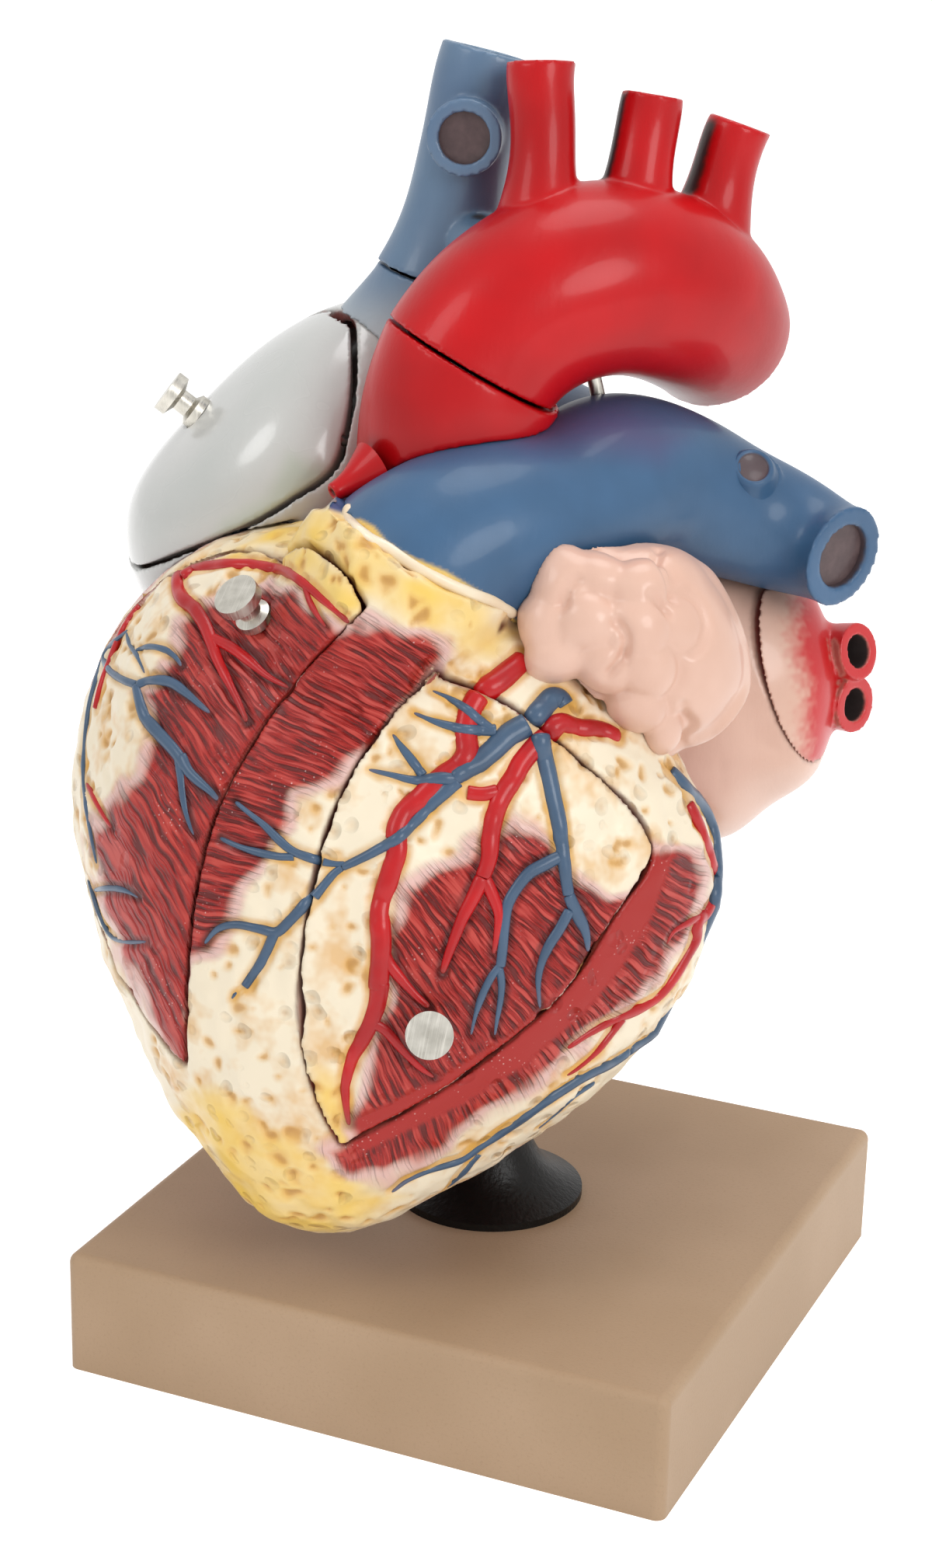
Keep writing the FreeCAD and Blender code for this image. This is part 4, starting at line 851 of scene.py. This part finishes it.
def nearVessels(points, courses, tree):
    # millimetres from each point to the edge of the nearest vessel
    spots, halves = [], []
    for vessel in courses:
        run = courseOn(tree, vessel[3])
        for index, (place, normal) in enumerate(run):
            spots.append(place)
            halves.append(widthAt(vessel, index / max(len(run) - 1, 1)) / 2)
    lookup = lookupOf(spots)
    gap = np.empty(len(points))
    for index, point in enumerate(points):
        place, which, distance = lookup.find(point)
        gap[index] = distance / mm - halves[which]
    return gap


def fibreGrain(points, pixels, node):
    # across and along the carved fibres, in millimetres
    if node == "ventricles":
        inBand = (pixels - bandLine["through"]) @ (1, bandLine["lean"]) > 0
        pivot = np.where(inBand[:, None], fibreFans["band"][0], fibreFans["strip"][0])
        scale = np.where(inBand, fibreFans["band"][1], fibreFans["strip"][1])
    else:
        pivot, scale = fibreFans[node]
    offset = pixels - pivot
    angle = np.arctan2(offset[:, 1], offset[:, 0])
    angle = np.where(angle < -math.pi / 2, angle + 2 * math.pi, angle)
    along = np.linalg.norm(offset, axis=1)
    return np.stack([angle * scale, along, np.zeros(len(points))], 1) / pixelsPerMm


# How a point is told to be outside: it faces away from the heart's middle and a ray from it meets nothing.
outer = {"leastFacing": 0.15, "sureFacing": 0.3, "startMm": 1.5}


def leadsOut(tree, point, direction):
    start = point + direction * outer["startMm"] * mm
    return tree.ray_cast(Vector(start), Vector(direction))[0] is None


def outerShare(points, normals, tree):
    # 1 on the outside of the ventricles, 0 in the chambers and in the seams
    away = points - np.array(heartMiddle)
    away /= np.linalg.norm(away, axis=1)[:, None]
    facing = (normals * away).sum(1)
    outside = np.zeros(len(points))
    for index in np.nonzero(facing > outer["leastFacing"])[0]:
        free = leadsOut(tree, points[index], away[index])
        if not free and facing[index] > outer["sureFacing"]:
            free = leadsOut(tree, points[index], normals[index])
        outside[index] = free
    return outside, facing


def lipTrimmed(points):
    # the fat's top corner beside the aorta is pushed back to its slope
    start, end = np.array(rootTrim["from"], float), np.array(rootTrim["to"], float)
    run = (end - start) / np.linalg.norm(end - start)
    offset = toPixels(points) - start
    along, out = offset @ run, offset @ (run[1], -run[0])
    soft, reach = rootTrim["soft"], rootTrim["reach"]
    near = smoothStep(-soft, soft / 2, along) * smoothStep(*rootTrim["fade"], along) * (out < reach)
    push = np.clip(out, 0, reach) * near
    return moved(points, -push * run[1], push * run[0])


def pitted(points, voxelMm):
    # 1 at the middle of each pit in the fat; the pits are strewn at random and no two are alike
    chance = np.random.default_rng(pits["seed"])
    count = int(len(points) * voxelMm ** 2 / pits["everyMm"] ** 2)
    lookup = lookupOf(points[chance.choice(len(points), count, replace=False)])
    radii = chance.uniform(*pits["radiusMm"], count)
    warp = [uneven(points, pits["warpSizeMm"], seed, pits["warpMm"]) * mm for seed in (41, 42, 43)]
    share = np.empty(len(points))
    for index, point in enumerate(points + np.stack(warp, 1)):
        place, which, distance = lookup.find(Vector(point))
        share[index] = distance / mm / radii[which]
    return smoothStep(*pits["slope"], share)


def muscleAndYellow(node, points, pixels, seen):
    # outlines where the camera sees the surface, patches at random where it doesn't
    stir = np.stack([uneven(points, casting["stirMm"], seed, casting["stirPixels"]) for seed in (3, 4)], 1)
    coarse, fine = (latticeNoise(points, size, seed) for size, seed in zip(casting["patchMm"], (9, 10)))
    patches = smoothStep(*casting["patchShare"], coarse + (fine - coarse) * casting["finePart"])
    muscle = inPolygons(pixels + stir, muscleOutlines[node], casting["softPixels"]) * seen
    mottle = latticeNoise(points, casting["mottleMm"], 5)
    mottle = casting["leastYellow"] + (1 - casting["leastYellow"]) * mottle
    yellow = inPolygons(pixels + stir, yellowOutlines[node], casting["yellowSoftPixels"]) * seen * mottle
    return np.maximum(muscle, patches * (1 - seen)), yellow


def keepSeams(mesh, pixels, seen, split):
    # the seam's dark paint stops at the root, and the muscle beside a seam is left smooth
    half = rootBand["halfPixels"]
    band = [(u, v - half) for u, v in rootLine] + [(u, v + half) for u, v in reversed(rootLine)]
    keep(mesh, "seam", split * (1 - inPolygons(pixels, [band], rootBand["soft"])))
    runs = [toSegment(pixels, start, end) for start, end in zip(smoothEdge, smoothEdge[1:])]
    alongEdge = smoothStep(*smoothPixels, np.min(runs, axis=0)) * seen
    bare = np.clip(evened(mesh, split, casting["bareRounds"]) * casting["bareGain"], 0, 1)
    keep(mesh, "bare", np.maximum(bare, alongEdge))


def castAndPaint(node, body):
    wall = node == "right_ventricle_wall"
    voxelMm = casting["wallVoxelMm" if wall else "voxelMm"]
    mesh = recast(node + "Casting", [node], voxelMm, casting["wallEaseRounds" if wall else "easeRounds"])
    points, normals = readPoints(mesh)
    if node == "ventricles":
        points, normals = reshaped(mesh, lipTrimmed(points))
    outside, facing = outerShare(points, normals, castTree)
    outside = evened(mesh, outside, 3)
    seen = smoothStep(*casting["seenFacing"], towardsEye(points, normals))
    pixels = toPixels(points)
    muscle, yellow = muscleAndYellow(node, points, pixels, seen)
    ownArteries = arteries[node] + hiddenArteries.get(node, [])
    ownVeins = veins[node] + hiddenVeins.get(node, [])
    gap = nearVessels(points, ownArteries + ownVeins, castTree)
    lump = uneven(points, casting["lumpMm"], 1, casting["lumpHighMm"]) * (casting["lumpOnFat"] - muscle)
    crumb = uneven(points, casting["crumbMm"], 2, casting["crumbHighMm"]) * (casting["crumbOnFat"] - muscle)
    groove = -casting["grooveDeepMm"] * smoothStep(*casting["grooveMm"], gap)
    dented = evened(mesh, pitted(points, voxelMm) * (1 - muscle), 1)
    inner = uneven(points, casting["liningMm"], 8, casting["liningHighMm"])
    inner = inner * smoothStep(*casting["chamberFacing"], facing)
    lift = outside * (lump + crumb + groove - dented * pits["deepMm"]) + (1 - outside) * inner
    reshaped(mesh, points + normals * lift[:, None] * mm)
    keep(mesh, "muscle", muscle)
    keep(mesh, "yellow", yellow)
    keep(mesh, "pit", dented * outside)
    keep(mesh, "rim", smoothStep(*casting["rimMm"], gap) * outside)
    keep(mesh, "lining", (1 - outside) * smoothStep(*reversed(casting["splitFacing"]), facing))
    keepSeams(mesh, pixels, seen, (1 - outside) * smoothStep(*casting["splitFacing"], facing))
    if node == "ventricles":
        keep(mesh, "blue", inPolygons(pixels, [rootLine + rootAbove], rootBand["edge"]) * seen)
    keep(mesh, "grain", fibreGrain(points, pixels, node))
    mesh.materials.append(finishes["resin"])
    newPiece(node + "Casting", mesh, body, [node])
    arteryMesh = layVessels(node + "Arteries", ownArteries, treeOf(mesh), castTree, body, "coronaryRed")
    layVessels(node + "Veins", ownVeins, treeOf(mesh, arteryMesh), castTree, body, "coronaryBlue")
    print(node, "cast and painted:", len(mesh.vertices), "points")


castTree = treeOf(*[nodes[name].data for name in castNodes])
for node, body in castNodes.items():
    castAndPaint(node, body)


# Vessels and atria: each is recast from its solids, its inside and seams told from its outside by what a ray
# along the surface's normal meets, and sprayed in its own colour.
sprayed = {
    "pulmonaryTrunk": {"nodes": ["pulmonary_trunk"], "body": "heart", "finish": "veinBlue", "voxelMm": 0.85},
    "ascendingAorta": {"nodes": ["ascending_aorta"], "body": "heart", "finish": "arteryRed", "voxelMm": 0.85},
    "venaCavaStump": {"nodes": ["vena_cava_stump"], "body": "heart", "finish": "caveBlue", "voxelMm": 0.7},
    "lowerVenaCava": {"nodes": ["lower_vena_cava"], "body": "heart", "finish": "caveBlue", "voxelMm": 0.8},
    "rightUpperVein": {"nodes": ["right_upper_vein"], "body": "heart", "finish": "lungVeinRed",
                       "voxelMm": 0.7},
    "rightLowerVein": {"nodes": ["right_lower_vein"], "body": "heart", "finish": "lungVeinRed",
                       "voxelMm": 0.7},
    "rightAtrium": {"nodes": ["right_atrium"], "with": ["right_atrium_wall"], "body": "heart",
                    "finish": "atriumGrey", "voxelMm": 0.9},
    "leftAtrium": {"nodes": ["left_atrium", "left_auricle"], "with": ["left_atrium_wall"], "body": "heart",
                   "finish": "atriumPink", "voxelMm": 0.8},
    "rightAtriumWall": {"nodes": ["right_atrium_wall"], "with": ["right_atrium"],
                        "body": "right_atrium_front", "finish": "atriumGrey", "voxelMm": 0.7},
    "leftAtriumSide": {"nodes": ["left_atrium_wall", "left_upper_vein", "left_lower_vein"],
                       "with": ["left_atrium"], "body": "left_atrium_side", "finish": "atriumPink",
                       "voxelMm": 0.55},
    "aorticArch": {"nodes": ["aortic_arch"], "body": "upper_vessels", "finish": "arteryRed", "voxelMm": 0.85},
    "upperVenaCava": {"nodes": ["upper_vena_cava"], "body": "upper_vessels", "finish": "caveBlue",
                      "voxelMm": 0.75},
}
# One of these sets how strongly the outlined second colours are laid on: a painted reflection on the right
# atrium's wall and a purple tint on the trunk.
spraying = {"seamMm": 1.6, "insideMm": 70, "swellMm": 0.35, "swellSizeMm": 16, "blushNearMm": 18,
            "blushFarMm": 30, "lipMm": 0.7, "recessMm": 9, "boreSpareMm": 0.7, "filletMm": (7, 0.6),
            "filletRounds": 50, "sparedMm": (9, 13), "discDeepMm": 2.4, "tintAndPaintedReflection": 0.7,
            "stumpFadeMm": (302, 276), "shiftFadeMm": 14, "startMm": 0.2, "nothingMm": 999.0,
            "shownFacing": (-0.1, 0.1), "blushUneven": [(9, 12), (1.4, 13)], "blushUnevenMm": 4}
# Degrees by which the heart stands turned in the frame.
displayTurn = 23.66
# Blind ends of cut vessels, in the heart's own directions: end, a point behind it, and the recess's radius.
blindEnds = {
    "pulmonaryTrunk": [((96, 8, 227), (85, 16, 230), 9.0), ((-32, 88, 262), (-10, 76, 260), 6.0),
                       ((67.6, 10, 251), (66.5, 15, 245), 4.3)],
    "aorticArch": [((6.4, 16, 359), (6.8, 14, 347), 5.8), ((36.5, 22, 350.5), (34.2, 20, 335), 4.8),
                   ((61.4, 34, 342), (57.5, 33, 330), 5.3)],
    "upperVenaCava": [((-13.8, 21, 338), (-12.5, 31, 338), 7.0)],
    "leftAtriumSide": [((102, 25, 196), (94, 33, 193), 4.8), ((102, 25, 180), (94, 33, 179), 4.8)],
}
# The trunk's end is turned a little towards the room, about a point behind it.
endTurn = {"end": (96, 8, 227), "pivot": (83, 19, 231), "degrees": 15, "bendMm": (-6, 22), "fadeMm": (34, 26)}
# Shapes eased one by one: place in the camera's frame, radius, shift in pixels across and down, and how far
# in millimetres from the auricle's middle the shift reaches.
auricleMiddle = (33, -26, 215)
shifts = {
    "leftAtrium": [(800, 664, 95, 0, 34, 54), (880, 690, 70, 4, 16, 54), (700, 700, 48, -14, -10, 54),
                   (852, 966, 34, 0, 16, 54), (704, 836, 60, -20, 26, 54), (1000, 1050, 90, -14, -18, 500)],
}
# Where the auricle passes into the atrium without an edge.
passage = {"outline": [(862, 735), (940, 705), (990, 750), (980, 900), (1000, 965), (930, 1010), (872, 975),
                       (868, 850)], "soft": 30, "facing": (-0.1, 0.2), "rounds": 600}
# Second colours, as outlines in the camera's frame: a pale green painted reflection along the right atrium
# wall's lower facet, and a purple tint on the trunk near the aorta.
tintsAndPaintedReflections = {
    "rightAtriumWall": {"outlines": [[(372, 585), (452, 612), (440, 640), (330, 690), (262, 716), (290, 672),
                                      (345, 640)]], "soft": 16},
    "pulmonaryTrunk": {"outlines": [[(640, 545), (700, 520), (800, 520), (880, 560), (850, 590), (760, 575),
                                     (680, 572)]], "soft": 30},
}
# Lobes of the auricle: place in the camera's frame, radius and height in millimetres.
lobes = [(716, 736, 11, 4.6), (772, 728, 8.5, 3.8), (830, 742, 9.5, 4.0), (688, 800, 9, 4.2),
         (752, 800, 8.5, 4.2), (826, 808, 9.5, 3.8), (708, 858, 9.5, 4.6), (774, 866, 8.5, 4.2),
         (838, 868, 9, 3.4), (818, 922, 9, 4.4), (858, 954, 7.5, 3.8), (880, 800, 8, 2.2)]
folds = [(2.2, [(744, 746), (731, 758), (724, 780)]), (2.6, [(794, 800), (806, 818), (804, 842), (784, 864)]),
         (1.6, [(838, 766), (850, 778), (862, 790)]), (1.3, [(880, 905), (884, 930), (876, 960)]),
         (1.6, [(848, 706), (848, 726), (860, 750), (870, 772)]), (1.6, [(724, 884), (742, 880), (770, 896)])]
foldForm = {"wideMm": 2.2, "evenRounds": 3, "lobeDepthMm": 2.0, "lobeRoundness": 0.6, "lobeFade": (1.5, 0.9)}


def toFrame(place):
    return Matrix.Rotation(math.radians(displayTurn), 3, "Z") @ Vector(place) * mm


def meets(points, normals, tree):
    # millimetres from each point, along its normal, to the next surface
    found = np.full(len(points), spraying["nothingMm"])
    for index, (point, normal) in enumerate(zip(points, normals)):
        hit = tree.ray_cast(Vector(point + normal * spraying["startMm"] * mm), Vector(normal))
        if hit[0] is not None:
            found[index] = hit[3] / mm
    return found


def inBlindEnds(points, ends):
    mask = np.zeros(len(points))
    for end, behind, radius in ends:
        inward = np.array((toFrame(behind) - toFrame(end)).normalized())
        offset = (points - np.array(toFrame(end))) / mm
        deep = offset @ inward
        aside = np.linalg.norm(offset - deep[:, None] * inward, axis=1)
        within = (deep > spraying["lipMm"]) * (deep < spraying["recessMm"])
        mask = np.maximum(mask, within * (aside < radius + spraying["boreSpareMm"]))
    return mask


def filleted(mesh, points, sources):
    # the line where two solids meet is rounded, as putty rounds it, but not at the open ends of the vessels
    near = []
    for source in sources:
        tree = treeOf(nodes[source].data)
        near.append(np.array([tree.find_nearest(Vector(point))[3] for point in points]) / mm)
    close = np.sort(np.array(near), axis=0)[1]
    weight = evened(mesh, smoothStep(*spraying["filletMm"], close), 6)
    spared = [smoothStep(*spraying["sparedMm"], farFrom(points, toFrame(end)))
              for end, behind, radius in blindEnds["leftAtriumSide"]]
    return eased(mesh, points, weight * np.min(spared, axis=0), spraying["filletRounds"])


def shifted(points, u, v, radius, across, down, reachMm):
    share = smoothStep(radius, 0, np.linalg.norm(toPixels(points) - (u, v), axis=1))
    share *= smoothStep(reachMm, reachMm - spraying["shiftFadeMm"], farFrom(points, toFrame(auricleMiddle)))
    return moved(points, share * across, share * down)


def passedOver(mesh, points, normals):
    # the auricle's edge is eased away where it passes into the atrium
    weight = inPolygons(toPixels(points), [passage["outline"]], passage["soft"])
    weight = evened(mesh, weight * smoothStep(*passage["facing"], normals @ -np.array(viewAhead)), 4)
    return eased(mesh, points, weight, passage["rounds"])


def turnedEnd(points):
    # weight grows from the pivot to the end, so that the tube bends evenly
    pivot = toFrame(endTurn["pivot"])
    outward = (toFrame(endTurn["end"]) - pivot).normalized()
    axis = outward.cross(eye - pivot).normalized()
    offset = points - np.array(pivot)
    share = smoothStep(*endTurn["bendMm"], offset @ np.array(outward) / mm)
    share = share * smoothStep(*endTurn["fadeMm"], farFrom(points, pivot))
    turn = np.array(Matrix.Rotation(math.radians(endTurn["degrees"]), 3, axis))
    return points + (offset @ turn.T - offset) * share[:, None]


def lobed(mesh, points, normals):
    # domes that meet in creases, and short folds
    tree = treeOf(mesh)
    height = np.zeros(len(points))
    reach = np.zeros(len(points))
    for u, v, radius, high in lobes:
        place = tree.ray_cast(*pixelRay(u, v))[0]
        if place is not None:
            away = farFrom(points, place) / radius
            height = np.maximum(height, high * np.clip(1 - away ** 2, 0, 1) ** foldForm["lobeRoundness"])
            reach = np.maximum(reach, smoothStep(*foldForm["lobeFade"], away))
    height = (height - foldForm["lobeDepthMm"]) * reach
    for deep, course in folds:
        spots = [spot for spot, normal in courseOn(tree, course)]
        if spots:
            away = np.min([farFrom(points, spot) for spot in spots], axis=0)
            height -= deep * smoothStep(foldForm["wideMm"], 0, away)
    return points + normals * evened(mesh, height, foldForm["evenRounds"])[:, None] * mm


def blushAt(points, ends):
    # red sprayed from the vessels' ends, with an uneven edge
    gaps = [toSegment(points, toFrame(end), toFrame(behind)) for end, behind, radius in ends]
    reach = np.min(gaps, axis=0) / mm
    for size, seed in spraying["blushUneven"]:
        reach += uneven(points, size, seed, spraying["blushUnevenMm"])
    return smoothStep(spraying["blushFarMm"], spraying["blushNearMm"], reach)


def keepColours(mesh, name, points, normals, inside):
    shown = smoothStep(*spraying["shownFacing"], towardsEye(points, normals))
    pixels = toPixels(points)
    # a pale green painted reflection on the right atrium's wall and a purple tint on the trunk; below, a grey
    # tint at the stump's foot
    if name in tintsAndPaintedReflections:
        tintAndPaintedReflection = inPolygons(pixels, tintsAndPaintedReflections[name]["outlines"], tintsAndPaintedReflections[name]["soft"])
        keep(mesh, "tintAndPaintedReflection", tintAndPaintedReflection * shown * spraying["tintAndPaintedReflection"])
    if name == "pulmonaryTrunk":
        keep(mesh, "fat", inPolygons(pixels, [rootLine[2:] + rootBelow], rootBand["edge"]) * shown)
    if name == "venaCavaStump":
        keep(mesh, "tintAndPaintedReflection", smoothStep(*spraying["stumpFadeMm"], points[:, 2] / mm))
    if name in blindEnds:
        keep(mesh, "bore", evened(mesh, inBlindEnds(points, blindEnds[name]), 1))
    if name == "leftAtriumSide":
        keep(mesh, "blush", blushAt(points, blindEnds[name]) * (1 - inside))


def spray(name, values):
    mesh = recast(name, values["nodes"], values["voxelMm"])
    points, normals = readPoints(mesh)
    near = meets(points, normals, treeOf(mesh, *[nodes[other].data for other in values.get("with", [])]))
    inside = evened(mesh, ((near < spraying["insideMm"]) & (near > spraying["seamMm"])).astype(float), 2)
    if "with" in values:
        keep(mesh, "seam", evened(mesh, (near <= spraying["seamMm"]).astype(float), 2))
    if len(values["nodes"]) > 1:
        points, normals = reshaped(mesh, filleted(mesh, points, values["nodes"]))
    for shift in shifts.get(name, []):
        points, normals = reshaped(mesh, shifted(points, *shift))
    if name == "leftAtrium":
        points, normals = reshaped(mesh, passedOver(mesh, points, normals))
    keepColours(mesh, name, points, normals, inside)
    if name == "leftAtrium":
        points, normals = reshaped(mesh, lobed(mesh, points, normals))
    keep(mesh, "lining", inside)
    swell = uneven(points, spraying["swellSizeMm"], 21, spraying["swellMm"]) * (1 - inside)
    points = points + normals * swell[:, None] * mm
    reshaped(mesh, turnedEnd(points) if name == "pulmonaryTrunk" else points)
    mesh.materials.append(finishes[values["finish"]])
    newPiece(name, mesh, values["body"], values["nodes"])
    print(name, "sprayed:", len(mesh.vertices), "points")


for name, values in sprayed.items():
    spray(name, values)

# Small round details: a disc that closes each cut vessel, a ring round a cut branch of the trunk, and the
# stub of a coronary artery on the aorta. Each is turned from a profile of places along its axis and radii.
profiles = {
    "stub": [(-9, 8.0), (-5, 5.6), (-2, 4.0), (1, 3.0), (3.2, 2.6), (4.2, 2.5), (4.6, 2.0), (4.5, 1.3),
             (3.8, 1.1), (3.6, 0.01)],
    "branchRing": [(-3.5, 8.6), (-0.5, 6.8), (1.6, 6.0), (2.6, 5.2), (2.6, 4.5), (2.1, 4.1), (1.9, 3.9),
                   (1.85, 0.01)],
}
details = {"sections": 40, "stubPlace": (446, 624), "stubDepth": (505, 600), "stubLean": (-0.82, -0.5, 0.35),
           "stubDarkMm": 1.2, "branchPlace": (968, 606), "branchLean": (0.12, 0.35, 0.9), "branchDarkMm": 4.2,
           "discSpareMm": 0.5}


def turned(name, place, axis, profile, finish, body, darkMm=0.0, shape=None):
    axis = Vector(axis).normalized()
    side = axis.orthogonal().normalized()
    across = axis.cross(side)
    count = details["sections"]
    corners, dark = [], []
    for along, radius in profile:
        for step in range(count):
            turn = 2 * math.pi * step / count
            spoke = side * math.cos(turn) + across * math.sin(turn)
            corners.append(place + (axis * along + spoke * radius) * mm)
            dark.append(float(radius < darkMm))
    mesh = meshFrom(name, corners, ringFaces(len(profile), count), finish)
    if shape:
        reshaped(mesh, shape(readPoints(mesh)[0]))
    keep(mesh, "bore", np.array(dark))
    newPiece(name, mesh, body)


def inView(lean):
    return viewRight * lean[0] + viewUp * lean[1] - viewAhead * lean[2]


def closeEnds(name, ends):
    for index, (end, behind, radius) in enumerate(ends):
        outward = (toFrame(end) - toFrame(behind)).normalized()
        place = toFrame(end) - outward * spraying["discDeepMm"] * mm
        disc = [(0.0, radius + details["discSpareMm"]), (0.05, 0.01)]
        turned(name + "Disc" + str(index + 1), place, outward, disc, "boreBrown", sprayed[name]["body"],
               shape=turnedEnd if name == "pulmonaryTrunk" else None)


for name, ends in blindEnds.items():
    if name != "leftAtriumSide":
        closeEnds(name, ends)

# a ray through the stub's place misses the aorta, so its depth is taken from a place beside it
aortaDepth = treeOf(bpy.data.meshes["ascendingAorta"]).ray_cast(*pixelRay(*details["stubDepth"]))[3]
origin, direction = pixelRay(*details["stubPlace"])
turned("coronaryStub", origin + direction * aortaDepth, inView(details["stubLean"]), profiles["stub"],
       "arteryRed", "heart", details["stubDarkMm"])
branchPlace = treeOf(bpy.data.meshes["pulmonaryTrunk"]).ray_cast(*pixelRay(*details["branchPlace"]))[0]
turned("branchRing", branchPlace, inView(details["branchLean"]), profiles["branchRing"], "veinBlue", "heart",
       details["branchDarkMm"])
# Bead of cream paint over the joint between the trunk and the fat.
rootBead = [(3.0, 3.4, 3.0, [(446, 652), (450, 668), (474, 689), (500, 707), (537, 732), (588, 757),
                             (639, 776), (664, 792)])]
rootTree = treeOf(bpy.data.meshes["ventriclesCasting"], bpy.data.meshes["pulmonaryTrunk"])
layVessels("rootBead", rootBead, rootTree, rootTree, "heart", "valveResin")
print("discs, ring, stub and bead made")

# Turned, moulded and cast parts that keep their solids' shapes.
dressed = {"beigeAbs": ["base_block"], "blackAbs": ["stand_flange"],
           "zincSteel": ["arch_stud"] + [name for name in nodes if name.endswith("_knob")],
           "plainSteel": ["stand_rod", "stand_washer", "stand_nut", "heart_socket"]
           + [name for name in nodes if name.endswith(("_screw", "_pin_1", "_pin_2"))],
           "valveResin": [name for name in nodes if name.endswith("_valve")]}
for finish, names in dressed.items():
    for name in names:
        for place in nodes[name].material_slots:
            place.material = finishes[finish]
print("solids dressed")
